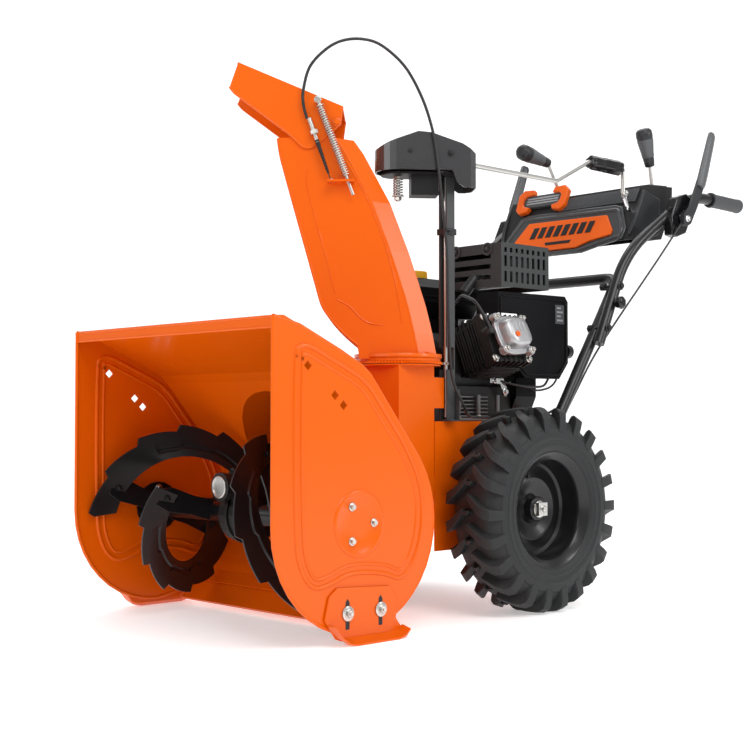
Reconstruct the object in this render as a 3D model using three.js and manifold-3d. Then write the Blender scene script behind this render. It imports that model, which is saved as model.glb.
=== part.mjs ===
// Two-stage walk-behind snow blower. Millimetres, +Z up, front is -Y, the operator's left is +X.
// Everything is placed from the point on the ground under the axle, and the finished machine is
// then moved so that the middle of its length is at the origin.
import * as THREE from 'three';
import { mergeVertices } from 'three/addons/utils/BufferGeometryUtils.js';
import Module from 'manifold-3d';

const wasm = await Module();
wasm.setup();

// ---------------------------------------------------------------- driving dimensions
const GAP = 0.35;               // left between pieces that touch
const FRONT = -692;             // front edge of the housing
const REAR = 790;               // rear ends of the hand grips
const HOUSING_HALF = 308;       // half of the clearing width
const SHEET = 3;                // housing sheet
const AUGER = { y: -503, z: 203, radius: 168, inner: 104, shaft: 12.7 };
const WRAP_RADIUS = 181;        // outside of the curved part of the housing
const DRUM = { z: 256, radius: 183, back: -187 };
const IMPELLER_RADIUS = 171;
const WHEEL = { x: 273, z: 203, radius: 203, half: 61 };
const FRAME = { half: 182, front: -186, rear: 205, low: 124, top: 377 };
const CHUTE = { x: 121, y: -227, ring: 485, turned: 44.3, half: 65 };
const GEAR = { module: 2, teeth: 86, pinionTeeth: 9 };
const CRANK_AXIS = { x: 0, z: 483 };
const ROD = { z: 896, throw: 57 };
const TUBE = 12.7;              // radius of the handle tubes

// The mast stands one gear distance from the chute, towards the left rear.
const GEAR_DISTANCE = GEAR.module * (GEAR.teeth + GEAR.pinionTeeth) / 2;
const MAST = { x: CHUTE.x + 0.618 * GEAR_DISTANCE, y: CHUTE.y + 0.786 * GEAR_DISTANCE, half: 11 };

const ROD_X = MAST.x;           // the crank's rod lies straight behind the mast

const machine = new THREE.Group();
machine.position.y = -(FRONT + REAR) / 2;

// ---------------------------------------------------------------- paints and other finishes
const finish = (color, roughness, metalness) =>
  new THREE.MeshStandardMaterial({ color, roughness, metalness });
const paint = { orange: 0xf26a12, black: 0x1b1b1c, charcoal: 0x45484b };
const orange = () => finish(paint.orange, 0.35, 0.1);
const blackSteel = () => finish(paint.black, 0.4, 0.3);
const blackPlastic = () => finish(0x232427, 0.55, 0);
const greyPlastic = () => finish(paint.charcoal, 0.6, 0);
const bareSteel = () => finish(0xa9abad, 0.35, 0.9);
const castAlloy = () => finish(0x9a9b9c, 0.5, 0.8);
const darkAlloy = () => finish(0x2b2a2b, 0.55, 0.5);
const rubber = () => finish(0x26272a, 0.85, 0);

// ---------------------------------------------------------------- shape tools
/** Turns a three.js geometry into a manifold solid. */
function solid(geometry) {
  geometry.deleteAttribute('normal');
  geometry.deleteAttribute('uv');
  const merged = mergeVertices(geometry, 1e-3);
  const vertProperties = new Float32Array(merged.attributes.position.array);
  const triVerts = new Uint32Array(merged.index.array);
  const body = new wasm.Manifold(new wasm.Mesh({ numProp: 3, vertProperties, triVerts }));
  if (body.volume() > 0) {
    return body;
  }
  triVerts.reverse();             // an outline given the other way round leaves the faces pointing in
  return new wasm.Manifold(new wasm.Mesh({ numProp: 3, vertProperties, triVerts }));
}

/** Adds a finished solid to the machine, or to a group in it, as a named mesh. */
function place(name, body, material, parent = machine) {
  const mesh = body.getMesh();
  const geometry = new THREE.BufferGeometry();
  geometry.setAttribute('position', new THREE.BufferAttribute(mesh.vertProperties, 3));
  geometry.setIndex(new THREE.BufferAttribute(mesh.triVerts, 1));
  geometry.computeVertexNormals();
  const part = new THREE.Mesh(geometry, material);
  part.name = name;
  parent.add(part);
}

const join = (first, ...others) => others.reduce((sum, other) => sum.add(other), first);
const cut = (first, ...others) => others.reduce((rest, other) => rest.subtract(other), first);
const range = (count) => Array.from({ length: count }, (unused, index) => index);
const radians = (degrees) => degrees * Math.PI / 180;

/** A block between two values on each axis. */
function block([x0, x1], [y0, y1], [z0, z1]) {
  const geometry = new THREE.BoxGeometry(x1 - x0, y1 - y0, z1 - z0);
  geometry.translate((x0 + x1) / 2, (y0 + y1) / 2, (z0 + z1) / 2);
  return solid(geometry);
}

/** A straight round bar from one point to another, with an optional second radius. */
function bar(from, to, radius, sides = 16, endRadius = radius) {
  const start = new THREE.Vector3(...from);
  const end = new THREE.Vector3(...to);
  const along = end.clone().sub(start);
  const geometry = new THREE.CylinderGeometry(endRadius, radius, along.length(), sides);
  const turn = new THREE.Quaternion().setFromUnitVectors(new THREE.Vector3(0, 1, 0), along.normalize());
  geometry.applyQuaternion(turn);
  geometry.translate(...start.add(end).multiplyScalar(0.5).toArray());
  return solid(geometry);
}

const planes = {
  x: [[0, 1, 0], [0, 0, 1], [1, 0, 0]],       // outline given as y, z and pushed along +X
  y: [[0, 0, 1], [1, 0, 0], [0, 1, 0]],       // outline given as z, x and pushed along +Y
  z: [[1, 0, 0], [0, 1, 0], [0, 0, 1]],       // outline given as x, y and pushed along +Z
};

/** A flat outline pushed along an axis from one value to another. */
function slab(axis, points, from, to, holes = []) {
  const shape = new THREE.Shape(points.map(([a, b]) => new THREE.Vector2(a, b)));
  holes.forEach((hole) => shape.holes.push(new THREE.Path(hole.map(([a, b]) => new THREE.Vector2(a, b)))));
  const geometry = new THREE.ExtrudeGeometry(shape, { depth: to - from, bevelEnabled: false });
  geometry.translate(0, 0, from);
  const basis = planes[axis].map((direction) => new THREE.Vector3(...direction));
  geometry.applyMatrix4(new THREE.Matrix4().makeBasis(...basis));
  return solid(geometry);
}

/** Points of an arc, angles in degrees. */
function arc(a, b, radius, from, to, steps) {
  return range(steps + 1).map((index) => {
    const angle = radians(from + (to - from) * index / steps);
    return [a + radius * Math.cos(angle), b + radius * Math.sin(angle)];
  });
}

/** Outline of a toothed wheel: pointed teeth between a root and a tip radius. */
function toothed(count, root, tip, firstAngle, x = 0, y = 0) {
  return range(count * 2).map((index) => {
    const radius = index % 2 === 0 ? tip : root;
    const angle = radians(firstAngle) + Math.PI * index / count;
    return [x + radius * Math.cos(angle), y + radius * Math.sin(angle)];
  });
}

/** A ring or turned piece round the X axis through (y, z); profile is [x, radius] pairs. */
function turnedX(profile, y, z, sides = 40) {
  const points = profile.map(([x, radius]) => new THREE.Vector2(radius, x));
  points.push(points[0].clone());
  const geometry = new THREE.LatheGeometry(points, sides);
  geometry.rotateZ(-Math.PI / 2);
  geometry.translate(0, y, z);
  return solid(geometry);
}

/** The same round a vertical axis; profile is [radius, z] pairs. */
function turnedZ(profile, x, y, sides = 40) {
  const points = profile.map(([radius, z]) => new THREE.Vector2(radius, z));
  points.push(points[0].clone());
  const geometry = new THREE.LatheGeometry(points, sides);
  geometry.rotateX(Math.PI / 2);
  geometry.translate(x, y, 0);
  return solid(geometry);
}

/** A piece turned round an axis along Y; profile is [y, radius] pairs. */
function turnedY(profile, x, z, count) {
  const points = profile.map(([y, radius]) => new THREE.Vector2(radius, y));
  points.push(points[0].clone());
  const geometry = new THREE.LatheGeometry(points, count);
  geometry.translate(x, 0, z);
  return solid(geometry);
}

/** A round tube or cable bent along points, with rounded corners. */
function bent(points, radius, bend = 40, sides = 10, steps = 36) {
  const corners = points.map((point) => new THREE.Vector3(...point));
  const path = new THREE.CurvePath();
  let last = corners[0];
  for (let index = 1; index < corners.length - 1; index += 1) {
    const corner = corners[index];
    const before = corner.clone().sub(corners[index - 1]);
    const after = corners[index + 1].clone().sub(corner);
    const reach = Math.min(bend, before.length() * 0.49, after.length() * 0.49);
    const start = corner.clone().sub(before.setLength(reach));
    const end = corner.clone().add(after.setLength(reach));
    path.add(new THREE.LineCurve3(last, start));
    path.add(new THREE.QuadraticBezierCurve3(start, corner, end));
    last = end;
  }
  path.add(new THREE.LineCurve3(last, corners[corners.length - 1]));
  return along(path, radius, sides, steps);
}

/** A thin rod through points, with a ball at every corner. */
function jointed(points, radius, count = 8) {
  const lengths = points.slice(1).map((point, index) => bar(points[index], point, radius, count));
  const balls = points.slice(1, -1).map((point) => {
    const ball = new THREE.SphereGeometry(radius, count, 6);
    ball.translate(...point);
    return solid(ball);
  });
  return join(...lengths, ...balls);
}

/** A round tube or cable on any curve. */
function along(path, radius, sides, steps) {
  const section = new THREE.Shape(range(sides).map((index) => {
    const angle = 2 * Math.PI * index / sides;
    return new THREE.Vector2(radius * Math.cos(angle), radius * Math.sin(angle));
  }));
  return solid(new THREE.ExtrudeGeometry(section, { steps, extrudePath: path, bevelEnabled: false }));
}

const mirror = (points) => points.map(([x, ...rest]) => [-x, ...rest]);
const sides = [['left', 1], ['right', -1]];

/** A range on X for either side of the machine. */
const across = (side, inner, outer) => (side > 0 ? [inner, outer] : [-outer, -inner]);

// ---------------------------------------------------------------- auger housing
/** The upper rear outline of the housing as y, z pairs, from the front lip down to the scraper bar. */
function wrapPath() {
  const slopeTurn = 39.2;       // where the straight rear slope meets the curved back
  return [
    [FRONT, 533], [FRONT, 553], [-672, 551], [-637, 536], [-548, 497], [-497, 473], [-478, 457],
    ...arc(AUGER.y, AUGER.z, WRAP_RADIUS, slopeTurn, -60, 9),
  ];
}

/** Moves an open path sideways by a distance. */
function offset(path, distance) {
  return path.map((point, index) => {
    const before = path[Math.max(index - 1, 0)];
    const after = path[Math.min(index + 1, path.length - 1)];
    const length = Math.hypot(after[0] - before[0], after[1] - before[1]);
    const normal = [-(after[1] - before[1]) / length, (after[0] - before[0]) / length];
    return [point[0] + normal[0] * distance, point[1] + normal[1] * distance];
  });
}

/** The solid space that the wrap encloses, used to trim the drum to the housing. */
function housingSpace() {
  return slab('x', [...offset(wrapPath(), GAP), [FRONT, 15]].reverse(), -HOUSING_HALF, HOUSING_HALF);
}

function housingWrap() {
  const outer = wrapPath();
  const inner = offset(outer, -SHEET).reverse();
  const inside = HOUSING_HALF - SHEET - GAP;
  const sheet = slab('x', [...outer, ...inner].reverse(), -inside, inside);
  const mouth = bar([0, -480, DRUM.z], [0, -300, DRUM.z], DRUM.radius - SHEET, 32);
  return cut(sheet, mouth);
}

/** Side outline: straight front, rounded toe, curved heel, slope and top. */
function sideOutline() {
  const toe = range(9).map((index) => {
    const angle = radians(180 + 90 * index / 8);
    return [AUGER.y + 189 * Math.cos(angle), AUGER.z + 187 * Math.sin(angle)];
  });
  const heel = range(13).slice(1).map((index) => {
    const angle = radians(-90 + 129.2 * index / 12);
    return [AUGER.y + 183.5 * Math.cos(angle), AUGER.z + (187 - 3.5 * index / 12) * Math.sin(angle)];
  });
  return [[FRONT, 553], ...toe, ...heel, [-476, 460], [-496, 475], [-547, 500], [-636, 539], [-671, 554]];
}

/** Flat bar behind the lower edge of the wrap; its front edge scrapes the ground. */
function scraperBar() {
  const outline = [[-382.5, 67.2], [-379.3, 63.4], [-443.6, 9.4], [-446.8, 13.2]];
  return slab('x', outline, -HOUSING_HALF + 8, HOUSING_HALF - 8);
}

/** The three square bolt holes stand on their corners. */
const squareHole = ([y, z]) => [[y - 9, z], [y, z - 9], [y + 9, z], [y, z + 9]];

function housingSide(side) {
  const holes = [[-618.5, 472.3], [-558.2, 423.3], [-538.9, 406.3]].map(squareHole);
  const [low, high] = across(side, HOUSING_HALF - SHEET, HOUSING_HALF);
  return slab('x', sideOutline(), low, high, holes);
}

/** Skid shoe: an upright plate with a foot turned outwards. */
function skidShoe(side) {
  const outline = [[-515, 0], [-437, 0], [-418, 9], [-423, 66], [-449, 86], [-572, 86], [-577, 94], [-570, 30]];
  const foot = [[-600, 34], [-566, 34], [-513, 6], [-439, 6], [-422, 14], [-400, 14], [-400, 120], [-600, 120]];
  const inner = HOUSING_HALF + GAP;
  const shoe = slab('x', outline, ...across(side, inner, inner + 25));
  const relief = slab('x', foot, ...across(side, inner + 6, inner + 30));
  const slots = [-534, -457].map((y) => slab('x',
    [[y - 5, 38], [y + 5, 38], [y + 5, 64], [y - 5, 64]], ...across(side, inner - 1, inner + 10)));
  return cut(shoe, relief, ...slots);
}

/** Flanged bearing that carries the auger shaft on the inside of a side plate. */
function augerBearing(side) {
  const face = HOUSING_HALF - SHEET - GAP;
  const profile = [[face, 50], [face - 4, 50], [face - 4, 26], [face - 24, 24], [face - 24, 13.1], [face, 13.1]];
  return turnedX(side > 0 ? profile : mirror(profile), AUGER.y, AUGER.z, 20);
}

// ---------------------------------------------------------------- impeller drum, neck and collar
const NECK = { x: [66, 183], y: [-285.5, -189] };

function impellerDrum() {
  const front = -470;
  const outer = join(
    bar([0, front, DRUM.z], [0, DRUM.back, DRUM.z], DRUM.radius, 32),
    block(NECK.x, [NECK.y[0], NECK.y[1]], [DRUM.z, CHUTE.ring]),
  );
  const inner = join(
    bar([0, front - 1, DRUM.z], [0, DRUM.back - SHEET, DRUM.z], DRUM.radius - SHEET, 32),
    block([NECK.x[0] + 3, NECK.x[1] - 3], [NECK.y[0] + 3, NECK.y[1] - 3], [DRUM.z, CHUTE.ring + 1]),
  );
  const bearingHole = bar([0, DRUM.back - 10, DRUM.z], [0, DRUM.back + 10, DRUM.z], 10 + GAP, 20);
  const collar = turnedZ([[60, CHUTE.ring], [84, CHUTE.ring], [84, CHUTE.ring + 3], [63.5, CHUTE.ring + 3],
    [63.5, CHUTE.ring + 12], [60, CHUTE.ring + 14]], CHUTE.x, CHUTE.y, 24);
  const bracket = block([152, 182.8], [NECK.y[1] - 1, MAST.y - 8 - GAP], [403, 463]);
  return join(cut(outer, inner, bearingHole, housingSpace()), collar, bracket);
}

// ---------------------------------------------------------------- augers
/** One ribbon of an auger: a strip wound round the shaft with a saw-toothed outer edge. */
function ribbon(side, startAngle) {
  const turn = 205;
  const [near, far] = [92, 296];
  const steps = 30;
  const geometry = new THREE.BoxGeometry(steps, 1, 4, steps, 1, 1);
  const position = geometry.attributes.position;
  for (let index = 0; index < position.count; index += 1) {
    const step = position.getX(index) + steps / 2;
    const share = step / steps;
    const tooth = 13 * ((step % 5) / 5);
    const outer = AUGER.radius - 13 + (step === 0 || step === steps ? 0 : tooth);
    const radius = position.getY(index) > 0 ? outer : AUGER.inner;
    const angle = radians(startAngle - turn * share);
    const x = near + (far - near) * share + position.getZ(index);
    position.setXYZ(index, side * x, AUGER.y - radius * Math.cos(angle), AUGER.z + radius * Math.sin(angle));
  }
  return solid(geometry);
}

/** Two ribbons, half a turn apart, on a hub tube with a flat arm to each ribbon's ends. */
function auger(side, startAngle) {
  const inner = AUGER.shaft + GAP;
  const hub = [[44, 19], [44, inner], [280, inner], [280, 19]];
  const parts = [turnedX(side > 0 ? hub : mirror(hub), AUGER.y, AUGER.z, 20)];
  for (const start of [startAngle, startAngle + 180]) {
    parts.push(ribbon(side, start));
    for (const [x, angle] of [[98, start - 6], [270, start - 180]]) {
      const arm = new THREE.BoxGeometry(5, AUGER.inner - 4, 34);
      arm.translate(0, 12 + (AUGER.inner - 4) / 2, 0);
      arm.rotateX(radians(180 - angle));
      arm.translate(side * x, AUGER.y, AUGER.z);
      parts.push(solid(arm));
    }
  }
  const shaftPassage = bar([-300, AUGER.y, AUGER.z], [300, AUGER.y, AUGER.z], inner, 20);
  return cut(join(...parts), shaftPassage);
}

/** Cast case that holds the worm above the worm wheel, hollow and open at its shaft holes. */
function gearcase() {
  const worm = DRUM.z;
  const wheelPlace = (half, radius) => bar([-half, AUGER.y, AUGER.z], [half, AUGER.y, AUGER.z], radius, 20);
  const wormPlace = (from, to, radius) => bar([0, from, worm], [0, to, worm], radius, 16);
  const outer = join(
    wheelPlace(26, 52), wheelPlace(40, 26), wormPlace(-566, -440, 25), wormPlace(-571, -560, 27),
    block([-20, 20], [-548, -458], [215, 276]),
  );
  const inner = join(wheelPlace(14, 47), wormPlace(-556, -452, 17), block([-14, 14], [-530, -476], [215, 262]));
  const holes = [wheelPlace(60, AUGER.shaft + GAP), wormPlace(-600, -400, 10 + GAP)];
  return cut(outer, inner, ...holes);
}

function wormWheel() {
  const disc = slab('x', toothed(20, 36, 40, 0, AUGER.y, AUGER.z), -10, 10);
  return cut(disc, bar([-20, AUGER.y, AUGER.z], [20, AUGER.y, AUGER.z], AUGER.shaft + GAP, 16));
}

/** Input shaft of the gearcase: worm at the front, impeller behind, belt pulley at the back. */
function impellerShaft() {
  return join(bar([0, -562, DRUM.z], [0, -128, DRUM.z], 10, 20), bar([0, -535, DRUM.z], [0, -471, DRUM.z], 11.4, 20));
}

function impeller() {
  const blades = range(4).flatMap((index) => {
    const angle = Math.PI / 4 + index * Math.PI / 2;
    const blade = new THREE.BoxGeometry(IMPELLER_RADIUS - 18, 110, 5);
    blade.translate((IMPELLER_RADIUS - 18) / 2 + 16, 0, 0);
    const paddle = new THREE.BoxGeometry(5, 110, 38);
    paddle.translate(IMPELLER_RADIUS - 14, 0, 19);
    return [blade, paddle].map((geometry) => {
      geometry.rotateY(angle);
      geometry.translate(0, -268, DRUM.z);
      return solid(geometry);
    });
  });
  const hub = bar([0, -320, DRUM.z], [0, -206, DRUM.z], 22, 24);
  const back = bar([0, -213, DRUM.z], [0, -207, DRUM.z], 90, 24);
  return cut(join(hub, back, ...blades), bar([0, -400, DRUM.z], [0, -150, DRUM.z], 10 + GAP, 20));
}

/** A V-belt pulley on an axis along Y. */
function pulley(x, z, y, radius, boreRadius) {
  const profile = [[boreRadius, -10], [radius, -10], [radius, -7], [radius - 11, -5],
    [radius - 11, 5], [radius, 7], [radius, 10], [boreRadius, 10]];
  const points = profile.map(([r, along]) => new THREE.Vector2(r, along));
  points.push(points[0].clone());
  const geometry = new THREE.LatheGeometry(points, 24);
  geometry.translate(x, y, z);
  return solid(geometry);
}

/** Belt loop round two wheels above each other: outlines are z, x pairs. */
function belt(z0, r0, z1, r1, y) {
  const lean = Math.asin((r0 - r1) / (z1 - z0)) * 180 / Math.PI;
  const loop = (extra) => [
    ...arc(z1, 0, r1 + extra, -(90 - lean), 90 - lean, 12),
    ...arc(z0, 0, r0 + extra, 90 - lean, 270 + lean, 18),
  ];
  return slab('y', loop(7), y - 4, y + 4, [loop(0.4)]);
}

// ---------------------------------------------------------------- tractor frame and wheels
function tractorFrame() {
  const { half, front, rear, low, top } = FRAME;
  const outer = block([-half, half], [front, rear], [low, top]);
  const inner = block([-half + 3, half - 3], [front - 1, rear - 3], [low - 1, top - 3]);
  const beltSlot = block([-95, 95], [front - 1, -110], [top - 10, top + 5]);
  const axleHole = bar([-200, 0, WHEEL.z], [200, 0, WHEEL.z], 21, 24);
  return cut(outer, inner, beltSlot, axleHole);
}

/** Half axle with the square-headed end bolt outside the hub. */
function axle(side) {
  const inner = 32;
  return join(
    bar([side * inner, 0, WHEEL.z], [side * 292, 0, WHEEL.z], 12.7, 20),
    slab('x', [[-13, 190], [13, 190], [13, 216], [-13, 216]], ...across(side, 291, 300)),
  );
}

/** Housing of the differential, hollow and open where the half axles enter. */
function differential() {
  const outer = join(bar([-45, 0, WHEEL.z], [45, 0, WHEEL.z], 42, 20), bar([-62, 0, WHEEL.z], [62, 0, WHEEL.z], 22, 16));
  const inner = bar([-38, 0, WHEEL.z], [38, 0, WHEEL.z], 36, 20);
  return cut(outer, inner, bar([-70, 0, WHEEL.z], [70, 0, WHEEL.z], 13.1, 20));
}

/** Tyre carcass, open inside where it sits on the rim. */
function tyre(side) {
  const { x, half, radius } = WHEEL;
  const profile = [[-46, 112], [-61, 140], [-58, 178], [-46, 203], [46, 203], [58, 178], [61, 140], [46, 112],
    [48, 145], [38, 175], [-38, 175], [-48, 145]];
  const points = profile.map(([along, r]) => [side * x + along * half / 61, r * radius / 203]);
  return turnedX(points, 0, WHEEL.z, 28);
}

/** Pressed steel rim with a dished centre and a hub tube on the axle. */
function rim(side) {
  const shell = [[-54, 109.5], [-43, 96.5], [-12, 96.5], [-12, 60], [-24, 24.5], [-80, 24.5], [-80, 13.1],
    [16, 13.1], [16, 24.5], [-12, 30], [-4, 60], [-4, 92.5], [44, 92.5], [51, 109.5], [43, 109.5], [40, 100],
    [-40, 100], [-46, 109.5]];
  const points = shell.map(([along, r]) => [side * (WHEEL.x + along), r]);
  return turnedX(points, 0, WHEEL.z, 20);
}

// ---------------------------------------------------------------- engine
const CYLINDER = { y: 45, lift: 22 };       // the cylinder leans up to the left

/** A block along the leaning cylinder: distance from the crank, half width on Y, half height. */
function leaning([from, to], halfWidth, halfHeight) {
  const geometry = new THREE.BoxGeometry(to - from, 2 * halfWidth, 2 * halfHeight);
  geometry.translate((from + to) / 2, 0, 0);
  geometry.rotateY(-radians(CYLINDER.lift));
  geometry.translate(CRANK_AXIS.x, CYLINDER.y, CRANK_AXIS.z);
  return solid(geometry);
}

const onCrank = (from, to, radius, count) =>
  bar([CRANK_AXIS.x, from, CRANK_AXIS.z], [CRANK_AXIS.x, to, CRANK_AXIS.z], radius, count);

/** Crankcase, sump and finned cylinder in one casting. */
function engineBlock() {
  const fins = range(4).map((index) => leaning([100 + index * 12, 105 + index * 12], 58, 56));
  const body = join(
    onCrank(-50, 138, 84, 16), block([-78, 96], [-50, 138], [FRAME.top + GAP, 450]),
    leaning([40, 152], 46, 44), ...fins, leaning([151, 178], 58, 52), leaning([177, 190], 44, 40),
  );
  return cut(body, onCrank(-60, 20, 13, 20));
}

/** Pressed valve cover with a flange and a raised middle. */
const valveCover = () => join(leaning([190.4, 195], 48, 44), leaning([194, 216], 36, 32), leaning([215, 222], 30, 26));

/** Output end of the crankshaft with its belt pulley. */
const crankshaft = () => join(onCrank(-160, 12, 12.3, 16), pulley(0, CRANK_AXIS.z, -146, 35, 12));

/** Fan housing round the flywheel, open towards the crankcase. */
function blowerHousing() {
  const outline = (grow) => [
    [FRAME.top + 6 - grow, -90 - grow], [430, -112 - grow], [540, -112 - grow], [592 + grow, -70 - grow],
    [592 + grow, 70 + grow], [540, 112 + grow], [430, 112 + grow], [FRAME.top + 6 - grow, 90 + grow],
  ];
  const shell = cut(slab('y', outline(0), 138.4, 205), slab('y', outline(-3), 138, 202));
  return cut(shell, onCrank(190, 210, 70, 32));
}

/** Recoil starter cover on the back of the fan housing, open towards it. */
function recoilCover() {
  const profile = [[205.4, 98], [205.4, 95], [211, 93], [237, 75], [241, 59], [241, 20], [244, 20],
    [244, 60], [240, 78], [214, 96]];
  const shell = turnedY(profile, CRANK_AXIS.x, CRANK_AXIS.z, 20);
  return cut(shell, bar([-40, 200, 530], [-40, 260, 530], 6, 12));
}

/** Pull grip that parks on the recoil cover. */
const recoilHandle = () => join(
  bar([-70, 256, 530], [-10, 256, 530], 9, 12),
  bar([-40, 240, 530], [-40, 252, 530], 5, 12),
);

/** Carburettor heater cover on the left of the engine, open towards the engine. */
function heaterCover() {
  const outline = [[44, 650], [42, 545], [130, 469], [245, 469], [276, 505], [276, 640], [266, 652]];
  const inner = [[47, 647], [45, 547], [131, 472], [243, 472], [273, 506], [273, 638], [265, 649]];
  const shell = cut(slab('x', outline, 84, 145), slab('x', inner, 83, 142));
  return cut(shell, leaning([60, 240], 62, 60), block([80, 118], [0, 250], [440, 605]));
}

/** Round choke knob on a short stem at the back of the heater cover. */
const chokeKnob = () => join(
  bar([128, 276.4, 531], [128, 287, 531], 6, 12),
  bar([128, 286, 531], [128, 300, 531], 15, 14),
);

/** Punched heat guard over the muffler: rows of slots, open underneath. */
function mufflerGuard() {
  const [x, y, z] = [[-8, 150], [48, 204], [661, 754]];
  const hollow = block([x[0] + 2.5, x[1] - 2.5], [y[0] + 2.5, y[1] - 2.5], [z[0] - 1, z[1] - 2.5]);
  const front = range(3).map((row) =>
    block([x[0] + 12, x[1] - 30], [y[0] - 5, y[0] + 8], [678 + row * 22, 688 + row * 22]));
  const left = range(8).flatMap((column) => {
    const at = y[0] + 10 + column * 18;
    return [[671, 694], [704, 727], [734, 744]].map((span) => block([x[1] - 8, x[1] + 5], [at, at + 8], span));
  });
  return cut(block(x, y, z), hollow, ...front, ...left);
}

const TANK = { x: [-185, -25], y: [-35, 170], z: [606, 690], filler: [-82, 22] };

/** Fuel tank with a filler neck hole. */
function fuelTank() {
  const { x, y, z, filler } = TANK;
  const outline = (inset) => [
    [z[0] + inset, x[0] + 22], [z[0] + inset, x[1] - 22], [z[0] + 30, x[1] - inset], [z[1] - 22, x[1] - inset],
    [z[1] - inset, x[1] - 26], [z[1] - inset, x[0] + 26], [z[1] - 22, x[0] + inset], [z[0] + 30, x[0] + inset],
  ];
  const shell = cut(slab('y', outline(0), y[0], y[1]), slab('y', outline(4), y[0] + 4, y[1] - 4));
  return cut(shell, bar([...filler, z[1] - 20], [...filler, z[1] + 10], 20, 24));
}

/** Screw-on cap with a plug that enters the filler neck. */
function fuelCap() {
  const [x, y] = TANK.filler;
  const top = TANK.z[1] + GAP;
  return join(bar([x, y, top - 6], [x, y, top + 4], 16, 24), bar([x, y, top], [x, y, top + 16], 27, 24));
}

/** Plastic cover over the belt, open underneath, with a hole for the crankshaft. */
function beltCover() {
  const low = FRAME.top + GAP;
  const outer = join(block([-105, 105], [-184, -62], [low, 468]), block([-50, 50], [-165, -62], [460, 535]));
  const inner = join(block([-102, 102], [-181, -65], [low - 1, 465]), block([-47, 47], [-162, -65], [450, 532]));
  return cut(outer, inner, onCrank(-80, -50, 16, 20));
}

// ---------------------------------------------------------------- chute
const chute = new THREE.Group();
chute.position.set(CHUTE.x, CHUTE.y, 0);
chute.rotation.z = -radians(90 + CHUTE.turned);
machine.add(chute);

/** Straight-line reading of a table of [height, value] pairs. */
function reading(table, z) {
  const next = Math.max(1, table.findIndex(([height]) => height >= z));
  const [[z0, v0], [z1, v1]] = [table[next - 1], table[next]];
  return v0 + (v1 - v0) * (z - z0) / (z1 - z0);
}

/** Bent channel on a ring. Its own X points the way it throws; the back has chamfered corners. */
function chuteBody() {
  const back = [[498, -76], [552, -66], [610, -52], [706, -21], [802, 15], [899, 67], [926, 86]];
  const front = [[498, 74], [522, 78], [546, 104], [570, 127], [598, 147], [720, 181], [890, 228], [926, 233]];
  const heights = [498, 522, 546, 570, 598, 650, 706, 760, 802, 850, 899, 926];
  const { half } = CHUTE;
  const [corner, edge] = [38, 500];          // back corner chamfer; marks the points of the front edge
  const section = [
    [edge, half], [corner, half], [0, half - 30], [0, 30 - half], [corner, -half], [edge, -half],
    [edge, 3 - half], [corner + 1.2, 3 - half], [3, 31.2 - half], [3, half - 31.2], [corner + 1.2, half - 3],
    [edge, half - 3],
  ];
  const shape = new THREE.Shape(section.map(([a, b]) => new THREE.Vector2(a, b)).reverse());
  const steps = heights.length - 1;
  const geometry = new THREE.ExtrudeGeometry(shape, { depth: steps, steps, bevelEnabled: false });
  const position = geometry.attributes.position;
  for (let index = 0; index < position.count; index += 1) {
    const z = heights[Math.round(position.getZ(index))];
    const depth = position.getX(index);
    const x = depth === edge ? reading(front, z) : reading(back, z) + depth;
    position.setXYZ(index, x, position.getY(index), z);
  }
  const low = CHUTE.ring + 8.8;
  const ring = turnedZ([[66, low], [84, low], [84, 500], [66, 500]], 0, 0, 24);
  const tab = block([84, 136], [half - 1, half + 24], [837, 841]);
  const slots = [bar([96, half + 13, 830], [96, half + 13, 850], 7, 12), bar([127, half + 13, 830], [127, half + 13, 850], 4, 12)];
  return cut(join(solid(geometry), ring, tab), ...slots);
}

const towardsMast = 51.82;                   // direction from the chute to the mast
const gearHeights = [CHUTE.ring + 4, CHUTE.ring + 8.4];

/** Ring gear under the chute; one tooth points at the pinion. */
function chuteGear() {
  const { module, teeth } = GEAR;
  const pitch = module * teeth / 2;
  const first = towardsMast + 90 + CHUTE.turned;
  const hole = range(24).map((index) => {
    const angle = -2 * Math.PI * index / 24;
    return [66 * Math.cos(angle), 66 * Math.sin(angle)];
  });
  return slab('z', toothed(teeth, pitch - 2.3, pitch + 1, first), ...gearHeights, [hole]);
}

/** Tilting cap at the chute's mouth: a top plate between two side plates. */
function deflector() {
  const side = [[106, 986], [111, 950], [150, 918], [166, 905], [182, 905], [198, 919], [210, 932], [318, 1013],
    [326, 1024], [309, 1073]];
  const under = [[90, 976.3], [90, 850], [400, 850], [400, 1109.2]];
  const { half } = CHUTE;
  const across3 = (outline, reach) => slab('y', outline.map(([x, z]) => [z, x]).reverse(), -reach, reach);
  return cut(across3(side, half + 4), across3(under, half + 1));
}

const PULL = { w: 78 };

/** Rod that guides the return spring, pinned to the cap and sliding through the tab. */
const guideRod = () => join(bar([154, PULL.w, 996], [86, PULL.w, 812], 3, 8), bar([154, 69.5, 996], [154, 84, 996], 5, 10));

/** Return spring on the rod, shown as a sleeve of its outer size. */
function returnSpring() {
  const [from, to] = [[149, PULL.w, 982.5], [98.6, PULL.w, 846.1]];
  return cut(bar(from, to, 7.5, 12), bar([155, PULL.w, 998.7], [86, PULL.w, 812], 3.6, 6));
}

// ---------------------------------------------------------------- mast, drive and head
/** Upright channel that carries the head; cut away where the pinion meets the ring gear. */
function mast() {
  const { x, y, half } = MAST;
  const [low, high] = [FRAME.top + GAP, 861.6];
  const channel = cut(
    block([x - half, x + half], [y - 8, y + 14.3], [low, high]),
    block([x - half + 3, x + half - 3], [y - 9, y + 11.5], [low + 4, high + 1]),
  );
  return cut(channel, block([x - 20, x + 20], [y - 20, y + 11.5], [CHUTE.ring - 6, CHUTE.ring + 38]));
}

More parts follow.
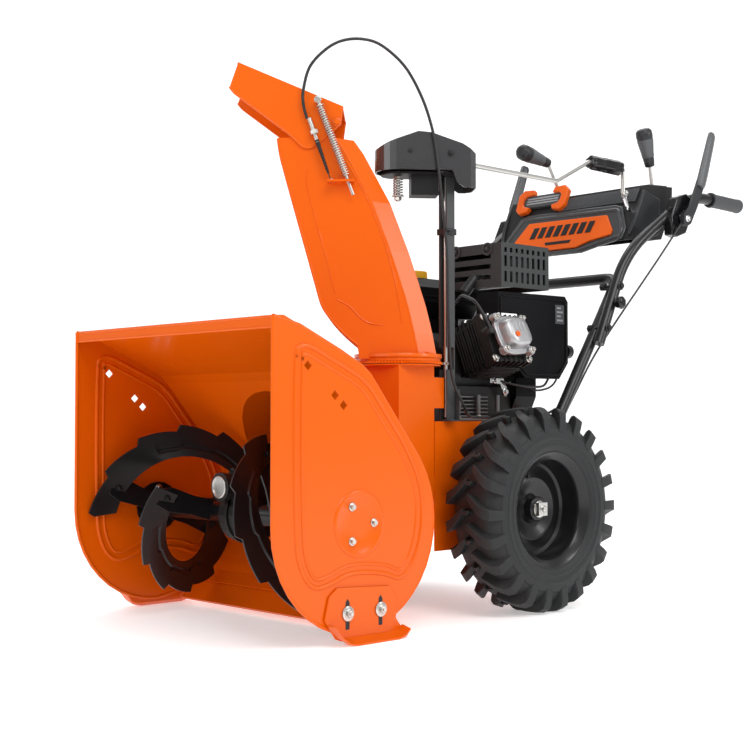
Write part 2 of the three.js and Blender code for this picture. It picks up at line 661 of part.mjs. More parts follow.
function driveShaft() {
  const { x, y } = MAST;
  const pitch = GEAR.module * GEAR.pinionTeeth / 2;
  const first = towardsMast + 180 + 180 / GEAR.pinionTeeth;
  const pinion = slab('z', toothed(GEAR.pinionTeeth, pitch - 1.8, pitch + 1.1, first, x, y), ...gearHeights);
  const bevel = bar([x, y, 872], [x, y, 878], 10, 16, 7);
  return join(bar([x, y, FRAME.top + 8], [x, y, 880], 4, 12), pinion, bevel);
}

const HEAD_LINE = radians(towardsMast);

/** A plan outline given along and across the line from the chute to the mast. */
const onHeadLine = (points) => points.map(([u, v]) => [
  CHUTE.x + u * Math.cos(HEAD_LINE) - v * Math.sin(HEAD_LINE),
  CHUTE.y + u * Math.sin(HEAD_LINE) + v * Math.cos(HEAD_LINE),
]);

/** Plate on top of the mast that carries the crank bearing and the pivot bolt. */
function headBracket() {
  const plate = slab('z', onHeadLine([...arc(0, 0, 34, 100, 260, 8), [60, -33], [128, -30], [128, 30], [60, 33]]),
    862, 866);
  const lobe = slab('z', onHeadLine([[24, -22], [78, -24], [78, 20], [24, 20]]), 822, 862.5);
  const ear = block([ROD_X - 14, ROD_X + 14], [-122, -117], [865, 910]);
  const crankHole = bar([ROD_X, -130, ROD.z], [ROD_X, -110, ROD.z], 5.5, 16);
  const shaftHole = bar([MAST.x, MAST.y, 850], [MAST.x, MAST.y, 870], 4.6, 16);
  const boltHole = bar([CHUTE.x, CHUTE.y, 850], [CHUTE.x, CHUTE.y, 870], 4.5, 16);
  return cut(join(plate, lobe, ear), crankHole, shaftHole, boltHole);
}

/** Moulded hood over the head, open underneath. */
function headHood() {
  const plan = (inset) => onHeadLine([
    ...arc(0, 0, 46 - inset, 100, 260, 10), [60, -43 + inset], [140 - inset, -38 + inset],
    [152 - inset, -24], [152 - inset, 24], [140 - inset, 38 - inset], [60, 43 - inset],
  ]);
  const top = (inset) => {
    const outline = [[-60, 904 - inset], [-24, 922 - inset], [36, 944 - inset], [62, 942 - inset], [124, 922 - inset],
      [160, 900 - inset]];
    return [...outline, [160, 836 - inset], [126, 836 - inset], [112, 846], [104, 868 - inset], [-60, 868 - inset]];
  };
  const profile = (inset) => {
    const shape = new THREE.Shape(top(inset).map(([a, b]) => new THREE.Vector2(a, b)).reverse());
    const geometry = new THREE.ExtrudeGeometry(shape, { depth: 140, bevelEnabled: false });
    geometry.translate(0, 0, -70);
    geometry.rotateX(Math.PI / 2);
    geometry.rotateZ(HEAD_LINE);
    geometry.translate(CHUTE.x, CHUTE.y, 0);
    return solid(geometry);
  };
  const outer = slab('z', plan(0), 830, 950).intersect(profile(0));
  const inner = slab('z', plan(3), 820, 947).intersect(profile(3));
  const rodHole = bar([ROD_X, -140, ROD.z], [ROD_X, -40, ROD.z], 8, 16);
  return cut(outer, inner, rodHole);
}

// ---------------------------------------------------------------- crank
const CRANK = { start: -142, kink: 193, gripFront: 312, gripBack: 428, end: 446 };

function crankRod() {
  const high = ROD.z + ROD.throw;
  const path = [[ROD_X, CRANK.start, ROD.z], [ROD_X, CRANK.kink, ROD.z], [ROD_X, CRANK.gripFront - 4, high],
    [ROD_X, CRANK.gripBack + 8, high], [ROD_X, CRANK.gripBack + 8, ROD.z], [ROD_X, CRANK.end, ROD.z]];
  const bevel = bar([ROD_X, -142, ROD.z], [ROD_X, -134, ROD.z], 17, 16, 20);
  return join(jointed(path, 5), bevel);
}

/** Lobed grip that spins on the raised part of the crank. */
function crankGrip() {
  const section = range(24).map((index) => {
    const angle = 2 * Math.PI * index / 24;
    const radius = 15.5 + 1.5 * Math.cos(6 * angle);
    return [ROD.z + ROD.throw + radius * Math.cos(angle), ROD_X + radius * Math.sin(angle)];
  });
  const body = slab('y', section, CRANK.gripFront + 2, CRANK.gripBack - 2);
  return cut(body, bar([ROD_X, 250, ROD.z + ROD.throw], [ROD_X, 480, ROD.z + ROD.throw], 5.5, 12));
}

// ---------------------------------------------------------------- handles
/** Lower handle: a U of tube whose legs run down the sides of the frame. */
function lowerHandle() {
  const leg = (x) => [[x, 118, 300], [x, 190, 405], [x, 352, 642], [x, 388, 698]];
  const path = [...leg(197.5), ...leg(-197.5).reverse()];
  return bent(path, TUBE, 48, 8, 44);
}

/** Upper handle tube of one side, from the lower handle back to the grip. */
function upperHandle(side) {
  const path = [[224, 283, 545], [224, 366, 716], [232, 402, 766], [240, 470, 818], [252, 560, 880],
    [258, 620, 899], [259, 668, 898]];
  return bent(path.map(([x, y, z]) => [side * x, y, z]), TUBE, 45, 8, 26);
}

/** Plastic hand grip on the end of the handle tube. */
function grip(side) {
  const x = side * 259;
  return join(
    bar([x, 668.5, 898], [x, 786, 896], 15.5, 16), bar([x, 668.5, 898], [x, 674, 898], 18, 16),
    bar([x, 784, 896], [x, REAR, 896], 17, 16),
  );
}

/** Clutch lever: a flat arm with a rubber-covered upper half, and its pivot boss. */
function clutchLever(side) {
  const outline = [[524, 826], [536, 820], [552, 828], [606, 918], [652, 1040], [647, 1048], [632, 1049],
    [588, 944], [546, 866], [524, 846]];
  const arm = slab('x', outline, ...across(side, 279.4, 285));
  return join(arm, bar([side * 269.4, 536, 838], [side * 285, 536, 838], 8, 14));
}

// ---------------------------------------------------------------- dash
const DASH = { half: 200, face: [[437, 790], [492, 921]] };

/** Moulded console across the handles, open underneath, with slots for its two levers. */
function dashPanel() {
  const outer = [...DASH.face, [602, 928], [600, 880], [556, 800]];
  const inner = [[441.5, 797], [494, 917.5], [599, 924.8], [597, 881], [553, 797], [553, 700], [441.5, 700]];
  const hollow = slab('x', inner, 3 - DASH.half, DASH.half - 3);
  const slots = [block([-71, -53], [498, 592], [900, 940]), block([166, 184], [530, 596], [900, 940])];
  return cut(slab('x', outer, -DASH.half, DASH.half), hollow, ...slots);
}

/** Lever with a long moulded knob; each point is y, z. */
function dashLever(x, pivot, neck, knob) {
  const stem = bent([[x, ...pivot], [x, ...neck], [x, ...knob[0]]], 4, 20, 6, 8);
  const boss = bar([x - 7, ...pivot], [x + 7, ...pivot], 8, 12);
  return join(stem, boss, bar([x, ...knob[0]], [x, ...knob[1]], 10, 12, 15));
}

// ---------------------------------------------------------------- control cables
/** Cable of the chute's cap: from under the dash, along the frame, up the mast and over in an arc. */
function chuteCable() {
  const points = [
    [54, -406, 960], [50, -412, 988], [50, -412, 1016], [57, -402, 1061], [74, -378, 1095], [93, -352, 1114],
    [116, -321, 1119], [139, -289, 1108], [166, -252, 1068], [185, -225, 1010], [197, -209, 951], [203, -201, 896],
    [208, -195, 828], [206, -182, 759], [203, -172, 690], [201, -167, 590], [203, -160, 470], [206, -130, 410],
    [191, -98, 389], [175, -50, 385], [172, 30, 385], [172, 120, 386], [172, 186, 398], [172, 226, 426],
    [172, 310, 546], [172, 376, 644], [173, 414, 706], [176, 446, 754], [180, 480, 790],
  ];
  return along(new THREE.CatmullRomCurve3(points.map((point) => new THREE.Vector3(...point))), 3, 6, 64);
}

// ---------------------------------------------------------------- the machine
place('housing_wrap', housingWrap(), orange());
for (const [name, side] of sides) {
  place(`housing_side_${name}`, housingSide(side), orange());
  place(`skid_shoe_${name}`, skidShoe(side), orange());
  place(`auger_bearing_${name}`, augerBearing(side), blackSteel());
}
place('scraper_bar', scraperBar(), orange());
place('impeller_drum', impellerDrum(), orange());
place('gearcase', gearcase(), darkAlloy());
place('tractor_frame', tractorFrame(), orange());
place('differential', differential(), castAlloy());
place('belt_cover', beltCover(), blackPlastic());
place('auger_belt', belt(DRUM.z, 69, CRANK_AXIS.z, 24, -146), rubber());

place('auger_shaft', bar([-300, AUGER.y, AUGER.z], [300, AUGER.y, AUGER.z], AUGER.shaft, 20), bareSteel());
place('auger_left', auger(1, 78), blackSteel());
place('auger_right', auger(-1, 200), blackSteel());
place('worm_wheel', wormWheel(), finish(0xb08a3c, 0.4, 0.8));

place('impeller_shaft', impellerShaft(), bareSteel());
place('impeller', impeller(), blackSteel());
place('impeller_pulley', pulley(0, DRUM.z, -146, 80, 10 + GAP), bareSteel());

place('crankshaft', crankshaft(), bareSteel());

for (const [name, side] of sides) {
  place(`axle_${name}`, axle(side), bareSteel());
  place(`rim_${name}`, rim(side), blackSteel());
  place(`tyre_${name}`, tyre(side), rubber());
}

place('engine_block', engineBlock(), darkAlloy());
place('valve_cover', valveCover(), castAlloy());
place('blower_housing', blowerHousing(), blackPlastic());
place('recoil_cover', recoilCover(), blackPlastic());
place('recoil_handle', recoilHandle(), blackPlastic());
place('heater_cover', heaterCover(), blackPlastic());
place('choke_knob', chokeKnob(), blackPlastic());
place('muffler_guard', mufflerGuard(), greyPlastic());
place('fuel_tank', fuelTank(), blackPlastic());
place('fuel_cap', fuelCap(), finish(0xe8b21c, 0.45, 0));

place('chute_body', chuteBody(), orange(), chute);
place('chute_gear', chuteGear(), orange(), chute);
place('deflector', deflector(), orange(), chute);
place('guide_rod', guideRod(), bareSteel(), chute);
place('return_spring', returnSpring(), bareSteel(), chute);

place('mast', mast(), greyPlastic());
place('drive_shaft', driveShaft(), bareSteel());
place('head_bracket', headBracket(), blackSteel());
place('head_hood', headHood(), blackPlastic());
place('crank_rod', crankRod(), bareSteel());
place('crank_grip', crankGrip(), blackPlastic());

place('lower_handle', lowerHandle(), blackSteel());
place('dash_panel', dashPanel(), blackPlastic());
place('speed_lever', dashLever(-62, [535, 860], [512, 930], [[461, 1004], [358, 1020]]), greyPlastic());
place('deflector_lever', dashLever(175, [562, 860], [556, 930], [[550, 977], [536, 1058]]), greyPlastic());
place('chute_cable', chuteCable(), rubber());
for (const [name, side] of sides) {
  place(`upper_handle_${name}`, upperHandle(side), blackSteel());
  place(`grip_${name}`, grip(side), greyPlastic());
  place(`clutch_lever_${name}`, clutchLever(side), greyPlastic());
}

export default machine;
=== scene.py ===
import math

import bmesh
import bpy
from mathutils import Matrix, Vector


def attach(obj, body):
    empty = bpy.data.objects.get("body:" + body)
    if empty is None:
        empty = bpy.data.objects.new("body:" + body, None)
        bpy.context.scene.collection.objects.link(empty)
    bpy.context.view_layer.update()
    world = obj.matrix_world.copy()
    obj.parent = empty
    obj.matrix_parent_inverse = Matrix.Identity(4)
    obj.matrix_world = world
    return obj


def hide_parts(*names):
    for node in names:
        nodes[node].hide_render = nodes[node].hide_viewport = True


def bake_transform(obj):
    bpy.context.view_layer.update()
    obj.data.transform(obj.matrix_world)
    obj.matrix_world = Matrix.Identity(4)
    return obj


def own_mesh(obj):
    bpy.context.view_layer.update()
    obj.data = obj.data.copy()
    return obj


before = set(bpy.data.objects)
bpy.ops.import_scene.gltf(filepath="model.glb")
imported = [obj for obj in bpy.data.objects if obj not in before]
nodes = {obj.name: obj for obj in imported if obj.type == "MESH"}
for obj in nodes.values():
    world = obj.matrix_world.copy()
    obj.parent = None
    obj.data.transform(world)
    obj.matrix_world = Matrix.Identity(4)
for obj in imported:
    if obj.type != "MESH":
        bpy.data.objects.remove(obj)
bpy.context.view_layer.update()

# ------------------------------------------------------------------ studio
# Pale floor and backdrop in one sweep, four soft lamps, and the camera low at the machine's front left.
# The floor glows a little, so that it stays white under soft shadows.
scene = bpy.context.scene
CAMERA_TURN = math.radians(46.85)
camera = bpy.data.objects.new("camera", bpy.data.cameras.new("camera"))
scene.collection.objects.link(camera)
camera.location = (1.9867, -2.0966, 0.3889)
camera.rotation_euler = (math.radians(91.9), 0, CAMERA_TURN)
camera.data.lens = 64.14
camera.data.sensor_width = 36
camera.data.dof.use_dof = False
scene.camera = camera
scene.view_settings.view_transform = "Standard"

world = bpy.data.worlds.new("studio")
scene.world = world
world.use_nodes = True
world.node_tree.nodes["Background"].inputs["Color"].default_value = (1, 1, 1, 1)
world.node_tree.nodes["Background"].inputs["Strength"].default_value = 0.46


def lamp(name, place, target, size, power):
    """An area lamp at a place, turned to a target."""
    light = bpy.data.lights.new(name, "AREA")
    light.shape = "RECTANGLE"
    light.size, light.size_y = size
    light.energy = power
    holder = bpy.data.objects.new(name, light)
    scene.collection.objects.link(holder)
    holder.location = place
    holder.rotation_euler = (Vector(target) - Vector(place)).to_track_quat("-Z", "Y").to_euler()


lamp("key", (2.6, -1.2, 3.2), (0, -0.1, 0.45), (2.4, 1.6), 66)
lamp("fill", (0.2, -3.6, 1.9), (0, -0.2, 0.5), (2.2, 1.4), 28)
lamp("top", (-0.6, 0.6, 3.4), (0, 0, 0.5), (2.4, 2.4), 46)
lamp("rim", (2.7, 1.35, 1.8), (0.1, -0.1, 0.75), (0.7, 1.3), 24)


class Value:
    """The output of one shader node. Sums and products of it add Math nodes."""

    def __init__(self, tree, socket):
        self.tree = tree
        self.socket = socket

    def node(self, kind, output=0, inputs=None, **settings):
        """Adds a node of any kind to the same material and gives one of its outputs."""
        made = self.tree.nodes.new(kind)
        for key, value in settings.items():
            setattr(made, key, value)
        for key, value in (inputs or {}).items():
            if isinstance(value, Value):
                self.tree.links.new(value.socket, made.inputs[key])
            else:
                made.inputs[key].default_value = value
        return Value(self.tree, made.outputs[output])

    def math(self, operation, first, second):
        return self.node("ShaderNodeMath", 0, {0: first, 1: second}, operation=operation)

    def __add__(self, other):
        return self.math("ADD", self, other)

    def __radd__(self, other):
        return self.math("ADD", other, self)

    def __sub__(self, other):
        return self.math("SUBTRACT", self, other)

    def __rsub__(self, other):
        return self.math("SUBTRACT", other, self)

    def __mul__(self, other):
        return self.math("MULTIPLY", self, other)

    def __rmul__(self, other):
        return self.math("MULTIPLY", other, self)


def surface(name, colour, rough, metal=0.0, coat=0.0, grain=900, bump=0.1, drift=0.12, stretch=(1, 1, 1),
            dust=0.0, specular=0.5):
    """A finish with slow drift of tone, fine grain in height and gloss, and dust on the upper faces."""
    made = bpy.data.materials.new(name)
    made.use_nodes = True
    tree = made.node_tree
    shader = tree.nodes["Principled BSDF"]
    place = Value(tree, tree.nodes.new("ShaderNodeTexCoord").outputs["Object"])
    place = place.node("ShaderNodeMapping", 0, {"Vector": place, "Scale": stretch})
    slow = place.node("ShaderNodeTexNoise", 0, {"Vector": place, "Scale": 7.0, "Detail": 5.0,
                                                "Roughness": 0.6})
    fine = place.node("ShaderNodeTexNoise", 0, {"Vector": place, "Scale": float(grain), "Detail": 3.0})
    patch = place.node("ShaderNodeTexNoise", 0, {"Vector": place, "Scale": 38.0, "Detail": 6.0,
                                                 "Roughness": 0.7})
    tone = 1 + (slow - 0.5) * drift * 2 + (patch - 0.5) * drift
    plain = place.node("ShaderNodeMix", 2, {0: 1.0, 6: (*colour, 1), 7: tone}, data_type="RGBA",
                       blend_type="MULTIPLY")
    if dust:
        up = place.node("ShaderNodeNewGeometry", "Normal")
        up = up.node("ShaderNodeSeparateXYZ", 2, {0: up})
        amount = place.node("ShaderNodeMath", 0, {0: up * patch * dust, 1: 0.0}, operation="MAXIMUM")
        plain = place.node("ShaderNodeMix", 2, {0: amount, 6: plain, 7: (0.42, 0.40, 0.37, 1)},
                           data_type="RGBA")
    tree.links.new(plain.socket, shader.inputs["Base Color"])
    gloss = rough + (slow - 0.5) * 0.06 + (patch - 0.5) * 0.06 + (fine - 0.5) * 0.06
    gloss = place.node("ShaderNodeMath", 0, {0: gloss, 1: 0.04}, operation="MAXIMUM")
    tree.links.new(gloss.socket, shader.inputs["Roughness"])
    relief = place.node("ShaderNodeBump", 0, {"Height": fine, "Strength": bump, "Distance": 0.0006})
    tree.links.new(relief.socket, shader.inputs["Normal"])
    shader.inputs["Metallic"].default_value = metal
    shader.inputs["Coat Weight"].default_value = coat
    shader.inputs["Coat Roughness"].default_value = 0.08
    shader.inputs["Specular IOR Level"].default_value = specular
    return made


floor_paint = surface("floor", (0.95, 0.95, 0.95), 0.6, grain=60, bump=0.02, drift=0.01)
floor_paint.node_tree.nodes["Principled BSDF"].inputs["Emission Color"].default_value = (1, 1, 1, 1)
floor_paint.node_tree.nodes["Principled BSDF"].inputs["Emission Strength"].default_value = 0.38
outline = [(-9, 0)] + [(4 + 1.6 * math.sin(math.radians(a)), 1.6 - 1.6 * math.cos(math.radians(a)))
                       for a in range(0, 91, 6)] + [(5.6, 7)]
sweep = bmesh.new()
rows = []
for along, high in outline:
    rows.append([sweep.verts.new((side, along, high)) for side in (-11, 11)])
for low, high in zip(rows, rows[1:]):
    sweep.faces.new((low[0], low[1], high[1], high[0]))
mesh = bpy.data.meshes.new("floor")
sweep.to_mesh(mesh)
sweep.free()
mesh.polygons.foreach_set("use_smooth", [True] * len(mesh.polygons))
mesh.materials.append(floor_paint)
floor = bpy.data.objects.new("floor", mesh)
floor.rotation_euler = (0, 0, CAMERA_TURN)
scene.collection.objects.link(floor)


# ------------------------------------------------------------------ auger housing
# Gloss powder-coated sheet steel. The side plates carry a pressed double bead round their middle.
# They are bolted to the curved wrap; rolled folds stiffen their rims and the top lip.
AXLE_BACK = 49                 # from the middle of the shared frame back to the axle
AUGER_Y, AUGER_Z = -503, 203   # the augers' axis, from the ground under the axle
SIDE_FACE = 308.6              # outer face of the side plates
HALF_SIDE = 304                # middle of the side plates' thickness
orange = surface("orange powder coat", (0.76, 0.112, 0.001), 0.25, coat=0.04, grain=420, bump=0.05,
                 drift=0.02, dust=0.006, specular=0.25)


def dress(name, material, bevel=0.8, segments=2):
    """Gives a carried-over piece its finish and rounds its edges."""
    target = nodes[name]
    target.data.materials.clear()
    target.data.materials.append(material)
    target.data.polygons.foreach_set("use_smooth", [True] * len(target.data.polygons))
    if bevel:
        rounding = target.modifiers.new("rounding", "BEVEL")
        rounding.width = bevel / 1000
        rounding.segments = segments
        rounding.limit_method = "ANGLE"
        rounding.angle_limit = math.radians(32)
    shading = target.modifiers.new("shading", "WEIGHTED_NORMAL")
    shading.keep_sharp = False
    return target


def in_frame(point):
    """A point in millimetres from the ground under the axle, as metres in the shared frame."""
    return Vector((point[0], point[1] - AXLE_BACK, point[2])) / 1000


def piece(name, shape, material, body, bevel=0.5, segments=2, angle=32):
    """Makes an object of a shape in millimetres from the ground under the axle, fixed to a body."""
    bmesh.ops.remove_doubles(shape, verts=shape.verts, dist=0.01)
    bmesh.ops.recalc_face_normals(shape, faces=shape.faces)
    for vertex in shape.verts:
        vertex.co = in_frame(vertex.co)
    made = bpy.data.meshes.new(name)
    shape.to_mesh(made)
    shape.free()
    made.materials.append(material)
    made.polygons.foreach_set("use_smooth", [True] * len(made.polygons))
    made.set_sharp_from_angle(angle=math.radians(angle))
    holder = bpy.data.objects.new(name, made)
    scene.collection.objects.link(holder)
    if bevel:
        rounding = holder.modifiers.new("rounding", "BEVEL")
        rounding.width = bevel / 1000
        rounding.segments = segments
        rounding.limit_method = "ANGLE"
        rounding.angle_limit = math.radians(angle)
    if body:
        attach(holder, body)
    return holder


def basis(axis):
    """Two directions square to an axis, and the axis itself."""
    axis = Vector(axis).normalized()
    side = axis.cross(Vector((0, 0, 1)) if abs(axis.z) < 0.9 else Vector((1, 0, 0))).normalized()
    return side, axis.cross(side), axis


def skin(shape, rings, ends=True):
    """Joins rings of corners into one surface, with a face over each end if ends is true."""
    for low, high in zip(rings, rings[1:]):
        for k in range(len(low)):
            n = (k + 1) % len(low)
            shape.faces.new((low[k], low[n], high[n], high[k]))
    if ends:
        shape.faces.new(rings[0][::-1])
        shape.faces.new(rings[-1])


def lathe(shape, profile, origin, axis, sides=40, turn=0.0):
    """Turns (distance along the axis, radius) pairs into a closed round body."""
    u, v, w = basis(axis)
    origin = Vector(origin)
    rings = []
    for along, radius in profile:
        rings.append([shape.verts.new(origin + w * along + radius * (
            u * math.cos(turn + math.tau * k / sides) + v * math.sin(turn + math.tau * k / sides)))
            for k in range(sides)])
    skin(shape, rings, ends=profile[0] != profile[-1])


def tube(shape, points, radius, bend=0.0, sides=14, squash=1.0):
    """Sweeps a round section along points whose corners are rounded; radius may be a list."""
    points = [Vector(p) for p in points]
    path = [points[0]]
    for before, corner, after in zip(points, points[1:], points[2:]):
        reach = min(bend, (corner - before).length * 0.49, (after - corner).length * 0.49)
        if reach < 0.01:
            path.append(corner)
            continue
        start = corner + (before - corner).normalized() * reach
        end = corner + (after - corner).normalized() * reach
        path += [start * (1 - t) ** 2 + corner * 2 * t * (1 - t) + end * t * t for t in
                 (0, 0.17, 0.33, 0.5, 0.67, 0.83, 1)]
    path.append(points[-1])
    radii = radius if isinstance(radius, list) else [radius] * len(path)
    u, v, w = basis(path[1] - path[0])
    rings = []
    for index, centre in enumerate(path):
        ahead = path[min(index + 1, len(path) - 1)] - path[max(index - 1, 0)]
        turn = w.rotation_difference(ahead.normalized())
        u, v, w = turn @ u, turn @ v, ahead.normalized()
        r = radii[index]
        rings.append([shape.verts.new(centre + r * u * math.cos(math.tau * k / sides) +
                                      r * squash * v * math.sin(math.tau * k / sides))
                                      for k in range(sides)])
    skin(shape, rings)


def block(shape, x, y, z, turn=None):
    """A block between two values on each axis, moved by a matrix if one is given."""
    corners = [Vector((a, b, c)) for a in x for b in y for c in z]
    if turn:
        corners = [turn @ c for c in corners]
    v = [shape.verts.new(c) for c in corners]
    for a, b, c, d in ((0, 1, 3, 2), (4, 6, 7, 5), (0, 4, 5, 1), (2, 3, 7, 6), (0, 2, 6, 4), (1, 5, 7, 3)):
        shape.faces.new((v[a], v[b], v[c], v[d]))


def prism(shape, outline, axis, low, high, turn=None):
    """An outline pushed from one value to another along x, y or z; it gives the other two in order."""
    def spot(a, b, c):
        point = Vector({"x": (c, a, b), "y": (a, c, b), "z": (a, b, c)}[axis])
        return turn @ point if turn else point
    bottom = [shape.verts.new(spot(a, b, low)) for a, b in outline]
    top = [shape.verts.new(spot(a, b, high)) for a, b in outline]
    skin(shape, [bottom, top])


def bolt(shape, centre, axis, size=6.5, washer=9.0, stub=0.0):
    """A flanged hexagon head, with a length of thread past it if stub is given."""
    lathe(shape, [(-1, washer), (1.2, washer), (1.8, washer * 0.9)], centre, axis, 20)
    head = [(1.5, size), (5.6, size), (6.6, size * 0.82)]
    lathe(shape, head, centre, axis, 6, turn=0.3)
    if stub:
        lathe(shape, [(2, size * 0.5), (6.6 + stub, size * 0.5), (7.2 + stub, size * 0.4)], centre, axis, 12)


for name in ("housing_wrap", "housing_side_left", "housing_side_right"):
    dress(name, orange, 1.0, 3)
for name in ("scraper_bar", "impeller_drum", "tractor_frame"):
    dress(name, orange, 1.2, 2)

BEAD_STEP = 15                 # between the outer and the inner bead of a side plate
bead = [(-645, 497), (-636, 505), (-615, 506), (-570, 486), (-525, 467), (-482, 445), (-442, 395),
        (-392, 336), (-355, 273), (-347, 219), (-355, 166), (-375, 122), (-405, 98), (-442, 115),
        (-524, 122), (-570, 104), (-603, 99), (-625, 117), (-640, 151), (-644, 184), (-647, 300),
        (-647, 414)]
for name, side in (("left", 1), ("right", -1)):
    pressed = bmesh.new()
    for inset in (0, BEAD_STEP):
        middle = Vector((-510, 270))
        loop = []
        for index, (y, z) in enumerate(bead):
            before, after = Vector(bead[index - 1]), Vector(bead[(index + 1) % len(bead)])
            ahead = (after - before).normalized()
            normal = Vector((-ahead.y, ahead.x))
            if normal.dot(middle - Vector((y, z))) < 0:
                normal = -normal
            loop.append(Vector((side * 306.6, y + normal.x * inset, z + normal.y * inset)))
        smooth = []
        for index in range(len(loop)):
            a, b, c = loop[index - 1], loop[index], loop[(index + 1) % len(loop)]
            smooth += [b * 0.75 + a * 0.25, b * 0.75 + c * 0.25]
        for _ in range(2):
            smooth = [q for a, b in zip(smooth, smooth[1:] + smooth[:1])
                      for q in (a * 0.75 + b * 0.25, a * 0.25 + b * 0.75)]
        tube(pressed, smooth + smooth[:2], 4.6 if inset == 0 else 3.6, sides=12)
    lathe(pressed, [(-1, 60), (0.8, 59), (2.6, 56), (2.6, 52), (0.8, 49), (0.5, 20), (-1, 20)],
          (side * 307.6, AUGER_Y, AUGER_Z), (side, 0, 0), 56)
    rim = [(-692, 552), (-692, AUGER_Z)]
    rim += [(AUGER_Y + 189 * math.cos(math.radians(a)), AUGER_Z + 187 * math.sin(math.radians(a)))
            for a in range(180, 271, 9)]
    rim += [(AUGER_Y + 183.5 * math.cos(math.radians(a)), AUGER_Z + 184 * math.sin(math.radians(a)))
            for a in range(-81, 40, 9)]
    rim += [(-476, 460), (-496, 475), (-547, 500), (-636, 539), (-692, 552)]
    tube(pressed, [(side * 305.4, y, z) for y, z in rim], 3.4, sides=12)
    piece(f"side_bead_{name}", pressed, orange, "chassis", bevel=0, angle=50)

lip = bmesh.new()
tube(lip, [(-HALF_SIDE, -690.5, 534), (HALF_SIDE, -690.5, 534)], 2.6, sides=10)
tube(lip, [(-HALF_SIDE, -690.5, 551), (HALF_SIDE, -690.5, 551)], 2.6, sides=10)
piece("top_lip_fold", lip, orange, "chassis", bevel=0)

# Three bright flanged bolts hold each auger bearing through its side plate.
zinc = surface("zinc plated steel", (0.62, 0.61, 0.58), 0.30, metal=1.0, grain=700, bump=0.08, drift=0.10)
black_bolt = surface("black oxide bolts", (0.03, 0.03, 0.032), 0.42, metal=0.6, grain=600, bump=0.08)
housing_bolts = bmesh.new()
for side in (1, -1):
    for step in range(3):
        a = math.radians(120 * step)
        bolt(housing_bolts, (side * SIDE_FACE, AUGER_Y + 34 * math.cos(a), AUGER_Z + 34 * math.sin(a)),
             (side, 0, 0), 5.2, 7.5)
piece("side_bolts", housing_bolts, zinc, "chassis", bevel=0.3)

# ------------------------------------------------------------------ skid shoes
# Feet of bent orange steel plate that carry the housing over the ground, turned outwards along the bottom.
# Each slides up and down on two slots, held by washers and lock nuts.
SHOE_BOLTS = (-534, -457)
SHOE_BOLT_Z = 53
for name, side in (("left", 1), ("right", -1)):
    shoe = bmesh.new()
    face = [(-585, 46), (-560, 12), (-546, 7), (-420, 7), (-404, 16), (-419, 34), (-416, 70), (-436, 92),
            (-556, 98), (-575, 84)]
    prism(shoe, face, "x", *sorted((side * SIDE_FACE, side * 312.6)))
    rows = []
    for y, low, high in ((-578, 36, 40), (-560, 14, 20), (-544, 3, 14), (-528, 0, 13), (-430, 0, 13),
                         (-414, 3, 14), (-403, 14, 22)):
        rows.append([shoe.verts.new((side * x, y, z)) for x, z in (
            (311, high), (318, high - 1), (329, low + 4), (333.6, low + 3.6), (333.6, low), (322, low),
            (309, high - 5))])
    skin(shoe, rows)
    foot = piece(f"skid_shoe_{name}_plate", shoe, orange, "chassis", bevel=1.4, segments=3)
    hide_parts(f"skid_shoe_{name}")
    # The slots are not cut: thin black sheets on the shoe's face are painted shade where the slots would be.
    slots = bmesh.new()
    for y in SHOE_BOLTS:
        prism(slots, [(y - 4.5, 26), (y + 4.5, 26), (y + 4.5, 72), (y, 78), (y - 4.5, 72)], "x",
              *sorted((side * 312.0, side * 312.9)))
    piece(f"shoe_slot_shade_{name}", slots, black_bolt, "chassis", bevel=0)
    studs = bmesh.new()
    for y in SHOE_BOLTS:
        lathe(studs, [(0, 13), (2.2, 13), (2.8, 12)], (side * 313, y, SHOE_BOLT_Z), (side, 0, 0), 28)
        bolt(studs, (side * 315.4, y, SHOE_BOLT_Z), (side, 0, 0), 7, 9, stub=3)
    piece(f"shoe_bolts_{name}", studs, zinc, "chassis", bevel=0.3)

# ------------------------------------------------------------------ auger bearings
# Pressed flanges of black steel that carry the ends of the auger shaft.
# Each is fixed inside its side plate by three bolts.
black_steel = surface("black powder coat", (0.008, 0.008, 0.009), 0.30, coat=0.12, grain=520, bump=0.08,
                      drift=0.25, dust=0.012, specular=0.35)
for name, side in (("left", 1), ("right", -1)):
    dress(f"auger_bearing_{name}", black_steel, 0.8)
    heads = bmesh.new()
    for step in range(3):
        a = math.radians(90 + 120 * step)
        bolt(heads, (side * 299.5, AUGER_Y + 38 * math.cos(a), AUGER_Z + 38 * math.sin(a)), (-side, 0, 0),
             5.5, 7.5)
    piece(f"bearing_bolts_{name}", heads, zinc, "chassis", bevel=0.2)

# ------------------------------------------------------------------ augers
# Two saw-toothed ribbons of black steel on each hub tube, half a turn apart, with a rib pressed along a part.
# Flat arms are welded to the hub and bolted to the ends of each ribbon; shear bolts cross the hub.
RIBBON_STEPS, TEETH = 140, 7   # steps and teeth along a ribbon
RIBBON_TURN = 205              # degrees it winds through
